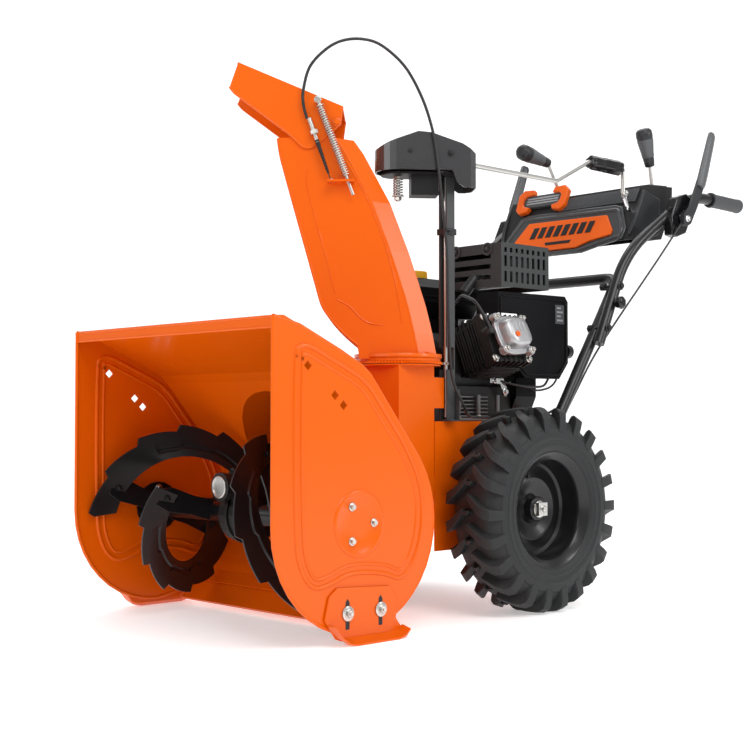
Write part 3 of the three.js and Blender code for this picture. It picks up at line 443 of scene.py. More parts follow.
# From the inner edge of a ribbon to its teeth: share of its width, and how far the rib stands out.
rows = [(0.0, 0), (0.14, 0), (0.24, 0), (0.29, 3.4), (0.35, 3.4), (0.40, 0), (0.7, 0), (1.0, 0)]
for name, side, first in (("left", 1, 78), ("right", -1, 200)):
    screw = bmesh.new()
    for start in (first, first + 180):
        grid = {}
        for step in range(RIBBON_STEPS + 1):
            share = step / RIBBON_STEPS
            in_tooth = (share * TEETH) % 1.0
            rise = 13 * min(1.0, in_tooth / 0.9) if in_tooth < 0.9 else 13 * (1 - (in_tooth - 0.9) / 0.1)
            outer = 155 + (0 if step in (0, RIBBON_STEPS) else rise)
            angle = math.radians(start - RIBBON_TURN * share)
            for index, (r, swell) in enumerate(rows):
                radius = 104 + (outer - 104) * r
                for face in (0, 1):
                    x = 92 + 204 * share + (2 if face else -2) + (swell if 22 < step < 92 else 0)
                    grid[step, index, face] = screw.verts.new((
                        side * x, AUGER_Y - radius * math.cos(angle), AUGER_Z + radius * math.sin(angle)))
        last = len(rows) - 1
        for step in range(RIBBON_STEPS):
            for index in range(last):
                for face in (0, 1):
                    screw.faces.new([grid[step + a, index + b, face]
                                     for a, b in ((0, 0), (1, 0), (1, 1), (0, 1))])
            for index in (0, last):
                screw.faces.new([grid[step + a, index, b] for a, b in ((0, 0), (1, 0), (1, 1), (0, 1))])
        for step in (0, RIBBON_STEPS):
            for index in range(last):
                screw.faces.new([grid[step, index + a, b] for a, b in ((0, 0), (1, 0), (1, 1), (0, 1))])
        for x, angle in ((98, start - 6), (270, start - 180)):
            turn = Matrix.Translation((side * x, AUGER_Y,
                                       AUGER_Z)) @ Matrix.Rotation(math.radians(180 - angle), 4, "X")
            prism(screw, [(14, -20), (60, -18), (112, -23), (138, -16), (138, 16), (112, 23), (60, 18),
                          (14, 20)],
                  "x", -5.2, -0.6, turn)
            block(screw, (-8, -2), (112, 136), (-9, 9), turn)
            bolt(screw, turn @ Vector((3, 122, 0)), (1, 0, 0), 4.6, 6.5)
    lathe(screw, [(44, 13.1), (44, 19), (47, 20.5), (52, 20.5), (54, 19), (276, 19), (280, 17.5),
                  (280, 13.1), (44, 13.1)],
          (0, AUGER_Y, AUGER_Z), (side, 0, 0), 36)
    for x in (62, 262):
        bolt(screw, (side * x, AUGER_Y, 222), (0, 0, 1), 5, 7)
    ribbon = piece(f"auger_{name}_ribbons", screw, black_steel, "auger", bevel=0.35, angle=40)
    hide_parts(f"auger_{name}")
dress("auger_shaft", zinc, 0.5)

# ------------------------------------------------------------------ gearcase
# Dark painted casting in two halves round the worm and its wheel, joined by a bolted flange.
# A bright pressed cap closes its nose, and a filler plug is screwed into its top.
dark_alloy = surface("dark casting", (0.012, 0.011, 0.011), 0.42, metal=0.2, grain=330, bump=0.35,
                     drift=0.25, dust=0.02, specular=0.35)
SHAFT_Z = 256                  # the impeller shaft's axis
dress("gearcase", dark_alloy, 1.6, 3)
dress("worm_wheel", surface("bronze", (0.50, 0.30, 0.10), 0.34, metal=1.0, grain=500), 0.3)
nose = bmesh.new()
lathe(nose, [(-1, 21), (2.5, 21), (3.5, 20), (3.5, 17.5), (1.6, 16.5), (1.6, 0.2)], (0, -571, SHAFT_Z),
      (0, -1, 0), 48)
piece("gearcase_nose_cap", nose, zinc, "chassis", bevel=0.3)
plug = bmesh.new()
lathe(plug, [(-2, 9), (3, 9), (3.5, 8)], (0, -540, 281), (0, -0.15, 1), 6)
lathe(plug, [(3, 4.5), (9, 4.5), (10, 3.8)], (0, -540, 281), (0, -0.15, 1), 4)
for side in (1, -1):
    for y, z in ((-540, 222), (-540, 184), (AUGER_Y, 157), (-466, 184), (-466, 222), (-455, 262)):
        bolt(plug, (side * 25.5, y, z), (side, 0, 0), 4.2, 6)
piece("gearcase_plug", plug, black_bolt, "chassis", bevel=0.3)
joint = bmesh.new()
prism(joint, [(AUGER_Y + 56 * math.cos(math.radians(a)), AUGER_Z + 56 * math.sin(math.radians(a)))
              for a in range(40, 321, 10)]
      + [(-545, 284), (-462, 284)], "x", -3, 3)
piece("gearcase_joint_flange", joint, dark_alloy, "chassis", bevel=0.8)

# ------------------------------------------------------------------ impeller and its shaft
# Four black steel paddles welded to a hub on the impeller shaft, with the belt's pulley behind.
# A cast flange with four bolts carries the shaft at the back of the drum.
dress("impeller", black_steel, 0.8)
dress("impeller_shaft", zinc, 0.4)
dress("impeller_pulley", zinc, 0.5)
carrier = bmesh.new()
lathe(carrier, [(0, 46), (3, 46), (4, 44), (5, 28), (14, 24), (16, 22), (16, 10.6)], (0, -186.6, SHAFT_Z),
      (0, 1, 0), 40)
for step in range(4):
    a = math.radians(45 + 90 * step)
    bolt(carrier, (38 * math.cos(a), -183, SHAFT_Z + 38 * math.sin(a)), (0, 1, 0), 5, 7)
piece("impeller_bearing", carrier, zinc, "chassis", bevel=0.3)

# ------------------------------------------------------------------ wheels
# Chunky tyres: a carcass with ringed side walls, arrow-shaped lugs and small crescent blocks between them.
# They stand on stepped black rims with a hub tube, a valve stem and a square end bolt.
WHEEL_X, AXLE_Z = 273, 203
LUGS = 22
tyre_rubber = surface("tyre rubber", (0.018, 0.019, 0.020), 0.52, grain=260, bump=0.35, drift=0.20,
                      dust=0.05, specular=0.3)
carcass = [(-46, 111), (-52, 113), (-57, 119), (-59, 125), (-60.6, 126), (-60.8, 129), (-59.6, 130.5),
           (-60.2, 139), (-61.8, 140), (-61.8, 143.5), (-60.2, 145), (-60, 152), (-58, 160), (-56, 161),
           (-53, 168), (-46, 178), (-36, 184), (-20, 187), (0, 187.5)]
carcass = carcass + [(-a, r) for a, r in carcass[-2::-1]] + [(48, 145), (38, 175), (-38, 175), (-48, 145),
    (-46, 111)]


def lug(shape, side_x, stations):
    """A tread block through stations: (across, angle, half width in degrees, foot and top radius)."""
    rings = []
    for across, angle, half, foot, top in stations:
        ring = []
        for radius, a in ((foot, angle - half * 1.15), (foot, angle + half * 1.15), (top, angle + half),
                          (top, angle - half)):
            a = math.radians(a)
            ring.append(shape.verts.new((side_x + across, -radius * math.cos(a),
                                         AXLE_Z + radius * math.sin(a))))
        rings.append(ring)
    skin(shape, rings)


for name, side in (("left", 1), ("right", -1)):
    centre = side * WHEEL_X
    body = bmesh.new()
    lathe(body, carcass, (centre, 0, AXLE_Z), (1, 0, 0), 96)
    for k in range(LUGS):
        base = 360 / LUGS * k
        for hand in (1, -1):
            shift = base + (0 if hand > 0 else 8.2)
            lug(body, centre, [
                (hand * 4, shift + 9.6, 1.5, 184, 202.2), (hand * 16, shift + 6.6, 2.4, 184, 202.8),
                (hand * 31, shift + 2.8, 2.7, 182, 202.6), (hand * 45, shift + 0.4, 3.0, 172, 201.0),
                (hand * 56, shift - 0.4, 3.1, 160, 194), (hand * 60, shift - 0.8, 2.9, 154, 178)])
        lug(body, centre, [(-9, base + 1.3, 0.6, 184, 200), (-4, base + 0.3, 1.2, 184, 201),
                           (4, base + 0.3, 1.2, 184, 201), (9, base + 1.3, 0.6, 184, 200)])
    tyre = piece(f"tyre_{name}_tread", body, tyre_rubber, f"wheel_{name}", bevel=0.9, angle=34)
    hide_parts(f"tyre_{name}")

    dish = bmesh.new()
    shell = [(-54, 109.5), (-52, 105), (-47, 99), (-43, 96.8), (-18, 96), (-12, 92), (-12, 62), (-20, 40),
             (-24, 26), (-30, 24.5), (-80, 24.5), (-80, 13.2), (16, 13.2), (16, 22), (14, 24.5), (-2, 25.5),
             (-8, 30), (-6, 44), (1, 56), (2, 62), (-3, 72), (-4, 88), (0, 93.2), (12, 95), (30, 95.5),
             (40, 96.5), (45, 100), (48, 106), (52.5, 110), (54, 114), (52, 117.4), (49, 116), (45, 110.2),
             (41, 104), (36, 100), (-36, 100), (-44, 103), (-48, 109.5), (-54, 109.5)]
    lathe(dish, [(side * a, r) for a, r in shell], (centre, 0, AXLE_Z), (1, 0, 0), 80)
    tube(dish, [(centre + side * 12, -84 * math.cos(0.9), AXLE_Z + 84 * math.sin(0.9)),
                (centre + side * 36, -86 * math.cos(0.9), AXLE_Z + 86 * math.sin(0.9))], [4.6, 3.6],
                sides=12)
    rim = piece(f"rim_{name}_dish", dish, black_steel, f"wheel_{name}", bevel=0.4)
    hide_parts(f"rim_{name}")
    dress(f"axle_{name}", zinc, 0.8)
    hub = bmesh.new()
    lathe(hub, [(0, 17), (2.0, 17), (2.4, 16)], (side * 289.2, 0, AXLE_Z), (side, 0, 0), 32)
    bolt(hub, (side * 299.5, 0, AXLE_Z), (side, 0, 0), 6.5, 8.5)
    piece(f"hub_bolt_{name}", hub, zinc, f"wheel_{name}", bevel=0.3)

# ------------------------------------------------------------------ differential and frame
# A raw alloy case between the half axles, which leave the orange frame through flanged steel bushes.
# The frame is bent from sheet and bolted together along its edges.
cast_alloy = surface("raw casting", (0.47, 0.47, 0.48), 0.42, metal=0.9, grain=300, bump=0.40, drift=0.14)
dress("differential", cast_alloy, 1.2)
frame_trim = bmesh.new()
for side in (1, -1):
    lathe(frame_trim, [(0, 33), (3, 33), (4, 31), (4, 20), (9, 18), (9, 13.2)], (side * 182, 0, AXLE_Z),
          (side, 0, 0), 36)
    for y, z in ((165, 150), (165, 345), (40, 345), (28, AXLE_Z), (-28, AXLE_Z)):
        bolt(frame_trim, (side * 182.4, y, z), (side, 0, 0), 6.2, 8.6)
piece("frame_bolts", frame_trim, zinc, "chassis", bevel=0.3)

# ------------------------------------------------------------------ chute
# Bent orange sheet channel on a toothed ring. Its open front edges are rolled and its back corners creased.
# Its sides carry pressed lines, and painted bolts hold it down on its ring.
CHUTE_X, CHUTE_Y = 121, -227   # the chute's upright axis
AIM_X, AIM_Y = 0.6984, 0.7157  # the way it throws, to the right and to the front
for name in ("chute_body", "chute_gear"):
    dress(name, orange, 0.7 if name == "chute_body" else 0.2, 2)


def on_chute(s, w, z):
    """A point of the turned chute: s along the throw, w to its left, z up."""
    return Vector((CHUTE_X - AIM_X * s + AIM_Y * w, CHUTE_Y - AIM_Y * s - AIM_X * w, z))


edge = [(78, 524), (104, 546), (127, 570), (147, 598), (181, 720), (205, 806), (228, 890), (233, 924)]
rolled = bmesh.new()
for w in (1, -1):
    tube(rolled, [on_chute(s - 0.5, w * 64, z) for s, z in edge], 2.4, bend=14, sides=10)
    ring = []
    for s, z in edge:
        ring.append([rolled.verts.new(on_chute(s - k, w * b, z))
                     for k, b in ((0, 63), (0, 52), (1.6, 52), (1.6, 63))])
    skin(rolled, ring)
    for radius, bend, line in (
            (1.7, 18, ((118, 612), (93, 600), (76, 580), (58, 566), (28, 562))),
            (1.5, 30, ((-8, 566), (3, 640), (24, 720), (60, 812), (100, 880))),
            (1.5, 30, ((120, 622), (140, 700), (160, 770), (178, 838), (176, 862)))):
        tube(rolled, [on_chute(s, w * 64.6, z) for s, z in line], radius, bend=bend, sides=8)
for w in (1, -1):
    back = [(-38, 502), (-28, 552), (-14, 610), (17, 706), (53, 802), (105, 899), (122, 923)]
    tube(rolled, [on_chute(s - 1.5, w * 63.2, z) for s, z in back], 2.2, bend=20, sides=10)
lathe(rolled, [(0, 66.5), (0, 85), (1, 86.4), (7, 86.4), (8, 85.4), (8, 83), (9, 70), (9, 66.5), (0, 66.5)],
      (CHUTE_X, CHUTE_Y, 500.4), (0, 0, 1), 72)
piece("chute_rolled_edges", rolled, orange, "chute", bevel=0, angle=45)
chute_bolts = bmesh.new()
for s, w in ((-58, 50), (-58, -50), (70, 50), (70, -50)):
    bolt(chute_bolts, on_chute(s, w, 504.8), (0, 0, 1), 5.5, 8)
piece("chute_bolts", chute_bolts, orange, "chute", bevel=0.2)

# ------------------------------------------------------------------ chute collar
# Black plastic ring on which the chute's ring gear slides.
# It is pressed over the round neck of the drum.
slide_ring = bmesh.new()
lathe(slide_ring, [(0, 64.4), (0, 83), (0.5, 83.4), (0.5, 64.4), (0, 64.4)], (CHUTE_X, CHUTE_Y, 488.2),
      (0, 0, 1), 72)
piece("chute_slide_ring", slide_ring, black_bolt, "chassis", bevel=0)

# ------------------------------------------------------------------ chute cap
# Folded orange sheet cap with hemmed lower edges, on two shoulder bolts through the chute's sides.
# A bright pin on its left side holds the return spring and its rod.
dress("deflector", orange, 1.0, 3)
hem = bmesh.new()
for w in (1, -1):
    tube(hem, [on_chute(s, w * 67.6, z) for s, z in ((107, 986), (112, 951), (150, 919), (166, 906),
        (182, 906), (197, 920), (210, 933), (318, 1014), (326, 1025))], 2.2, bend=9, sides=10)
    normal = Vector((AIM_Y, -AIM_X, 0)) * w
    bolt(hem, on_chute(118, w * 70, 955), normal, 6, 9)
tube(hem, [on_chute(309, -68, 1071), on_chute(309, 68, 1071)], 2.2, sides=10)
piece("cap_hem", hem, orange, "deflector", bevel=0, angle=45)
cap_bolts = bmesh.new()
bolt(cap_bolts, on_chute(154, 85, 996), (AIM_Y, -AIM_X, 0), 5, 7)
tube(cap_bolts, [on_chute(154, 69, 996), on_chute(154, 86, 996)], 3.2, sides=12)
piece("cap_bolts", cap_bolts, zinc, "deflector", bevel=0.2)

# ------------------------------------------------------------------ return spring and its rod
# Bright close-wound coil of spring wire on a thin steel rod with a bent eye at its top.
# On the machine it shortens as the cap comes down and the rod slides through the chute's tab; here it is
# rigid.
dress("guide_rod", zinc, 0.2)
coil = bmesh.new()
low, high = on_chute(98.6, 78, 848), on_chute(149, 78, 981)
u, v, w = basis(high - low)
turns, per_turn = 30, 12
wire = []
for k in range(turns * per_turn + 1):
    a = math.tau * k / per_turn
    wire.append(low + (high - low) * k / (turns * per_turn) + 6.3 * (u * math.cos(a) + v * math.sin(a)))
tube(coil, wire, 1.25, sides=6)
spring = piece("return_coil", coil, zinc, "spring_rod", bevel=0, angle=80)
low - high
tuple(in_frame(high))
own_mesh(spring)
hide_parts("return_spring")
pins = bmesh.new()
lathe(pins, [(0, 8.5), (1.6, 8.5)], on_chute(149.5, 78, 984), high - low, 20)
tube(pins, [on_chute(154, 70, 996), on_chute(154, 78, 996), on_chute(149.8, 78, 985)], 3.4, bend=6, sides=12)
piece("spring_rod_eye", pins, zinc, "spring_rod", bevel=0.2)

# ------------------------------------------------------------------ cap cable
# Black sheathed cable in a high arc from the mast to the cap, then low beside the frame and up a handle leg.
# Its ferrule and nut hang beside the spring rod; a rubber boot covers the wire down to the chute's tab.
rubber = surface("cable sheath", (0.012, 0.012, 0.013), 0.45, grain=400, bump=0.10, drift=0.2)
arc = [(54, -406, 960), (50, -412, 988), (50, -412, 1016), (57, -402, 1061), (74, -378, 1095),
       (93, -352, 1114), (116, -321, 1119), (139, -289, 1108), (166, -252, 1068), (185, -225, 1010),
       (197, -209, 951), (203, -201, 896), (208, -195, 828), (206, -182, 759), (203, -172, 690),
       (201, -167, 590), (203, -160, 470), (206, -130, 410), (191, -98, 389), (175, -50, 385),
       (172, 30, 385), (172, 120, 386), (172, 186, 398), (172, 226, 426), (172, 310, 546), (172, 376, 644),
       (173, 414, 706), (176, 446, 754), (180, 480, 790)]
CABLE_RADIUS = 2.9
CABLE_STEPS = 8                # steps between two of its points
smooth = []
for index in range(len(arc) - 1):
    p = [Vector(arc[max(0, min(len(arc) - 1, index + k))]) for k in (-1, 0, 1, 2)]
    for step in range(CABLE_STEPS):
        t = step / CABLE_STEPS
        smooth.append(0.5 * ((2 * p[1]) + (p[2] - p[0]) * t + (2 * p[0] - 5 * p[1] + 4 * p[2] - p[3]) * t * t
                             + (3 * p[1] - p[0] - 3 * p[2] + p[3]) * t ** 3))
smooth.append(Vector(arc[-1]))


def lay(name, first, last):
    """A length of the cable between two of its points, baked into the shared frame and fixed to no body."""
    sheath = bmesh.new()
    tube(sheath, smooth[first * CABLE_STEPS:last * CABLE_STEPS + 1], CABLE_RADIUS, sides=10)
    length = piece(name, sheath, rubber, None, bevel=0, angle=80)
    tuple(in_frame(arc[last]))
    tuple(in_frame(arc[first]))
    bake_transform(length)
    return length


sheath = bmesh.new()
tube(sheath, smooth[13 * CABLE_STEPS:], CABLE_RADIUS, sides=10)
cable = piece("cap_cable", sheath, rubber, "chassis", bevel=0, angle=80)
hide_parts("chute_cable")
lay("cap_cable_arc", 5, 13)
lay("cap_cable_bend", 2, 5)
lay("cap_cable_end", 0, 2)
ferrule = bmesh.new()
top, anchor = on_chute(171, 77, 961), on_chute(128, 77, 838)
tube(ferrule, [top, top.lerp(anchor, 0.22)], 4.4, sides=16)
lathe(ferrule, [(-4, 8.4), (4, 8.4)], top.lerp(anchor, 0.22), anchor - top, 6)
lathe(ferrule, [(0, 3.6), (16, 3.6), (17, 3.0)], top.lerp(anchor, 0.25), anchor - top, 14)
piece("cable_ferrule", ferrule, zinc, "spring_rod", bevel=0.2)
boot = bmesh.new()
outline = []
for k in range(16):
    wide = 4.8 - k * 0.12
    outline += [(k * 4.3, wide - 1.4), (k * 4.3 + 1.5, wide), (k * 4.3 + 3, wide),
                (k * 4.3 + 4.1, wide - 1.4)]
lathe(boot, outline, top.lerp(anchor, 0.34), anchor - top, 20)
tube(boot, [top.lerp(anchor, 0.36), anchor], 1.2, sides=8)
sleeve = piece("cable_boot", boot, rubber, "spring_rod", bevel=0, angle=60)
hang = top.lerp(anchor, 0.34)
tuple(in_frame(hang))
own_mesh(sleeve)
stop = bmesh.new()
lathe(stop, [(-5, 5), (0, 5), (1, 4)], anchor, anchor - top, 12)
piece("cable_stop", stop, zinc, "chute", bevel=0.2)
clip = bmesh.new()
block(clip, (166.5, 193), (-163.5, -160.6), (746, 758))
block(clip, (191.5, 194), (-163.5, -136), (746, 758))
tube(clip, [(194, -160, 752), (206, -182, 752), (212, -184, 752), (211, -176, 752), (196, -156, 752)], 2.0,
     bend=4, sides=8)
piece("mast_cable_clip", clip, black_bolt, "chassis", bevel=0.3)

# ------------------------------------------------------------------ mast and drive shaft
# Folded channel in dark grey paint, bolted to the frame by a small foot.
# The bright drive shaft with its pinion and bevel wheel turns inside it.
grey_paint = surface("dark grey paint", (0.045, 0.046, 0.048), 0.30, coat=0.1, grain=600, bump=0.08,
                     drift=0.2)
dress("mast", grey_paint, 0.9)
dress("drive_shaft", zinc, 0.3)
mast_foot = bmesh.new()
block(mast_foot, (160, 199.6), (-136, -133), (379, 440))
block(mast_foot, (160, 199.6), (-160, -133), (377.6, 380.6))
for x, z in ((168, 425), (192, 425), (168, 398), (192, 398)):
    bolt(mast_foot, (x, -132.4, z), (0, 1, 0), 4.6, 6.6)
piece("mast_foot", mast_foot, grey_paint, "chassis", bevel=0.4)

# ------------------------------------------------------------------ head
# Black moulded hood over a painted steel plate on top of the mast; it covers the bevel wheels.
# A bright sprung bolt hangs from the plate on the chute's axis.
textured_metal = surface("head plate paint", (0.012, 0.012, 0.013), 0.45, grain=600, bump=0.1, drift=0.2,
                         specular=0.2)
gloss_black = surface("gloss black plastic", (0.006, 0.006, 0.007), 0.16, coat=0.15, grain=300, bump=0.03,
                      drift=0.2, specular=0.4)
# The hood's base colour is set lighter than the other black plastics as painted sheen, on top of its real
# gloss from coat and specular.
hood_black = surface("hood plastic", (0.030, 0.030, 0.032), 0.24, coat=0.3, grain=300, bump=0.03, drift=0.2,
                     specular=0.6)
dress("head_hood", hood_black, 7.0, 4)
dress("head_bracket", textured_metal, 2.6, 3)
HEAD_TURN = math.radians(51.82)
toward = Vector((math.cos(HEAD_TURN), math.sin(HEAD_TURN), 0))
across = Vector((-toward.y, toward.x, 0))
trim = bmesh.new()
for flank in (-1, 1):
    for u_at, z in ((20, 905), (100, 902)):
        spot = Vector((CHUTE_X, CHUTE_Y, z)) + toward * u_at + across * flank * 42.4
        bolt(trim, spot, across * flank, 4.2, 6)
piece("hood_screws", trim, black_bolt, "chassis", bevel=0.2)
skirt = bmesh.new()
for flank in (-1, 1):
    tube(skirt, [Vector((CHUTE_X, CHUTE_Y, 870)) + toward * a + across * flank * b
                 for a, b in ((0, 45), (60, 42), (104, 40.5))],
         1.8, bend=10, sides=8)
    tube(skirt, [Vector((CHUTE_X, CHUTE_Y, z)) + toward * a + across * flank * b for a, b, z in
                 ((10, 42, 918), (52, 41.5, 934), (90, 40, 926))], 1.5, bend=12, sides=8)
piece("hood_edge", skirt, gloss_black, "chassis", bevel=0, angle=60)
pivot = bmesh.new()
tube(pivot, [(CHUTE_X, CHUTE_Y, 812), (CHUTE_X, CHUTE_Y, 872)], 4.0, sides=16)
lathe(pivot, [(0, 7.5), (6, 7.5), (7, 6.5)], (CHUTE_X, CHUTE_Y, 814), (0, 0, 1), 6)
lathe(pivot, [(0, 12), (2, 12)], (CHUTE_X, CHUTE_Y, 821), (0, 0, 1), 24)
wire = [(CHUTE_X + 9 * math.cos(k * math.tau / 12), CHUTE_Y + 9 * math.sin(k * math.tau / 12),
         824 + k * 36 / 84)
        for k in range(85)]
tube(pivot, wire, 1.5, sides=7)
piece("head_pivot_bolt", pivot, zinc, "chassis", bevel=0.2)

# ------------------------------------------------------------------ crank
# Bright steel rod with two bends, from a bevel wheel in the head to an eye on a bright console bracket.
# A glossy black six-lobed grip turns freely on its throw.
ROD_X, ROD_Z = 179.71, 896     # the rod lies straight behind the mast
THROW_Z = 953
rod = bmesh.new()
tube(rod, [(ROD_X, -142, ROD_Z), (ROD_X, 193, ROD_Z), (ROD_X, 308, THROW_Z), (ROD_X, 436, THROW_Z),
           (ROD_X, 436, ROD_Z), (ROD_X, 446, ROD_Z)], 5, bend=7, sides=14)
lathe(rod, [(0, 15), (0, 17), (8, 20), (10, 20), (10, 12), (14, 10), (14, 5)], (ROD_X, -142, ROD_Z),
      (0, 1, 0), 26)
crank = piece("crank_bent_rod", rod, zinc, "crank", bevel=0.3)
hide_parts("crank_rod")
hand = bmesh.new()
GRIP_SIDES, LOBES, LOBE_RISE = 72, 6, 1.1
rings = []
for y, r in ((314, 11), (316, 14.5), (320, 15.4), (352, 15.6), (356, 14.6), (360, 15.7), (390, 16),
             (418, 16.4), (422, 15), (426, 11)):
    ring = []
    for k in range(GRIP_SIDES):
        a = math.tau * k / GRIP_SIDES
        reach = r + LOBE_RISE * math.cos(LOBES * a)
        ring.append(hand.verts.new((ROD_X + reach * math.sin(a), y, THROW_Z + reach * math.cos(a))))
    rings.append(ring)
skin(hand, rings)
grip = piece("crank_lobed_grip", hand, gloss_black, "crank_grip", bevel=0, angle=50)
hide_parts("crank_grip")
eye = bmesh.new()
lathe(eye, [(-3, 5.4), (-3, 9), (3, 9), (3, 5.4), (-3, 5.4)], (ROD_X, 444, ROD_Z), (0, 1, 0), 24)
tube(eye, [(ROD_X, 444, 888), (ROD_X, 452, 872), (ROD_X, 468, 858), (ROD_X, 480, 856)], 4.2, bend=10,
     sides=12, squash=2.0)
chrome = surface("bright plate", (0.80, 0.80, 0.81), 0.12, metal=1.0, grain=400, bump=0.03, drift=0.06)
piece("crank_end_bracket", eye, chrome, "chassis", bevel=0.3)

# ------------------------------------------------------------------ handles
# Black coated steel tube. The lower U stands on the frame, and the upper tubes are bolted to its legs.
# A moulded knob clamps the left joint.
lower = bmesh.new()
legs = [(197.5, 118, 300), (197.5, 190, 405), (197.5, 352, 642), (197.5, 388, 698)]
tube(lower, legs + [(-x, y, z) for x, y, z in legs[::-1]], 12.6, bend=48, sides=22)
handle = piece("lower_handle_tube", lower, black_steel, "chassis", bevel=0, angle=60)
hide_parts("lower_handle")
joints = bmesh.new()
for side in (1, -1):
    upper = bmesh.new()
    tube(upper, [(side * x, y, z) for x, y, z in (
        (224, 283, 545), (224, 366, 716), (232, 402, 766), (240, 470, 818), (252, 560, 880), (258, 620, 899),
        (259, 786, 897))], 12.5, bend=45, sides=22)
    name = "left" if side > 0 else "right"
    bar = piece(f"upper_handle_{name}_tube", upper, black_steel, "chassis", bevel=0, angle=60)
    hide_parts(f"upper_handle_{name}")
    for y, z in ((300, 580), (346, 675)):
        bolt(joints, (side * 237, y, z), (side, 0, 0), 6.5, 10)
        lathe(joints, [(0, 9), (12, 9)], (side * 185, y, z), (side, 0, 0), 6)
        tube(joints, [(side * 200, y, z), (side * 236, y, z)], 4, sides=10)
piece("handle_bolts", joints, black_bolt, "chassis", bevel=0.3)
knobs = bmesh.new()
lathe(knobs, [(0, 9), (2, 13), (8, 15), (15, 14), (18, 9)], (240, 328, 636), (1, 0, 0), 7)
piece("handle_clamp_knob", knobs, gloss_black, "chassis", bevel=1.2, segments=3)

# ------------------------------------------------------------------ hand grips
# Dark grey soft sleeves pushed over the ends of the upper tubes.
# They have fine rings, a collar in front and a plain end.
grip_grey = surface("grip plastic", (0.050, 0.053, 0.057), 0.55, grain=800, bump=0.35, drift=0.15)
for name, side in (("left", 1), ("right", -1)):
    sleeve = bmesh.new()
    outline = [(0, 13.1), (0, 17), (2, 18), (5, 18), (7, 15.6)]
    for k in range(17):
        outline += [(9 + k * 6, 15.4), (11 + k * 6, 16.1), (13 + k * 6, 16.1), (14.5 + k * 6, 15.4)]
    outline += [(113, 15.5), (117, 16.9), (121, 16.9), (122, 15), (122, 2), (10, 2), (0, 13.1)]
    lathe(sleeve, outline, (side * 259, 668, 898), (0, 122, -2), 32)
    hold = piece(f"grip_{name}_sleeve", sleeve, grip_grey, "chassis", bevel=0, angle=50)
    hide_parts(f"grip_{name}")

# ------------------------------------------------------------------ clutch levers
# Dark moulded levers with a lighter cover on the upper half, one beside each grip.
# They turn on bright bolts in glossy black housings on the tubes; a cable runs down from each.
knob_grey = surface("knob grey plastic", (0.085, 0.088, 0.092), 0.42, grain=800, bump=0.2, drift=0.1)
moulded = surface("moulded dark grey", (0.020, 0.021, 0.023), 0.40, grain=700, bump=0.2, drift=0.15,
                  specular=0.4)
for name, side in (("left", 1), ("right", -1)):
    arm = bmesh.new()
    front = [(524, 826), (536, 820), (552, 828), (578, 868), (606, 918), (640, 1010), (652, 1040),
             (648, 1048), (634, 1049), (628, 1040), (588, 944), (546, 866), (524, 846)]
    prism(arm, front, "x", *sorted((side * 279.4, side * 285)))
    cover = bmesh.new()
    sleeve_path = [(590, 916), (594, 926), (604, 950), (618, 986), (632, 1022), (640, 1043), (642, 1049)]
    tube(cover, [(side * 285, y - 1, z) for y, z in sleeve_path], [12, 15.5, 15.5, 14.5, 13.5, 12.5, 8],
         sides=24, squash=0.5)
    piece(f"clutch_lever_{name}_cover", cover, knob_grey, f"clutch_{name}", bevel=0.4)
    lathe(arm, [(269.4, 8), (271, 11), (279, 11), (281, 9), (285, 9)], (0, 536, 838), (side, 0, 0), 24)
    lever = piece(f"clutch_lever_{name}_arm", arm, moulded, f"clutch_{name}", bevel=1.2, segments=3)
    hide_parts(f"clutch_lever_{name}")
    stand = bmesh.new()
    prism(stand, [(500, 800), (520, 796), (556, 808), (584, 856), (588, 886), (560, 900), (522, 888),
                  (498, 842)], "x",
          *sorted((side * 246, side * 268.6)))
    block(stand, sorted((side * 236, side * 266)), (520, 556), (822, 846))
    lathe(stand, [(0, 20), (8, 22), (26, 20), (34, 16)], (side * 252, 536, 834), (side * 0.2, 0.83, 0.55),
          28)
    piece(f"lever_bracket_{name}", stand, gloss_black, "chassis", bevel=3.0, segments=3)
    studs = bmesh.new()
    bolt(studs, (side * 285.6, 536, 838), (side, 0, 0), 5.5, 8)
    piece(f"lever_pivot_{name}", studs, chrome, f"clutch_{name}", bevel=0.3)
    wire = bmesh.new()
    tube(wire, [(side * 276, 528, 830), (side * 262, 466, 752), (side * 240, 330, 600),
                (side * 205, 290, 520), (side * 196, 200, 392)], 2.2, bend=60, sides=8)
    piece(f"clutch_cable_{name}", wire, rubber, "chassis", bevel=0, angle=80)

# ------------------------------------------------------------------ console
# Black textured moulding. Its face carries a raised grey frame with an orange plate of plain slanted bars,
# a grey textured strip above, two orange hooks with a grey bar, and a faceted block at each end.
textured = surface("textured black plastic", (0.009, 0.009, 0.010), 0.40, grain=1100, bump=0.3, drift=0.2,
                   dust=0.02, specular=0.35)
dress("dash_panel", textured, 6.0, 4)
orange_plastic = surface("orange plastic", (0.80, 0.115, 0.003), 0.36, grain=900, bump=0.15, drift=0.06,
                         specular=0.3)
FACE_Y, FACE_Z = 437, 790      # foot of the console's front
RUN, RISE = 0.387, 0.922       # its slope


def on_face(x, h, out):
    """A point of the console's front: across, up the slope, and out of it."""
    return Vector((x, FACE_Y + RUN * h - RISE * out, FACE_Z + RISE * h + RUN * out))


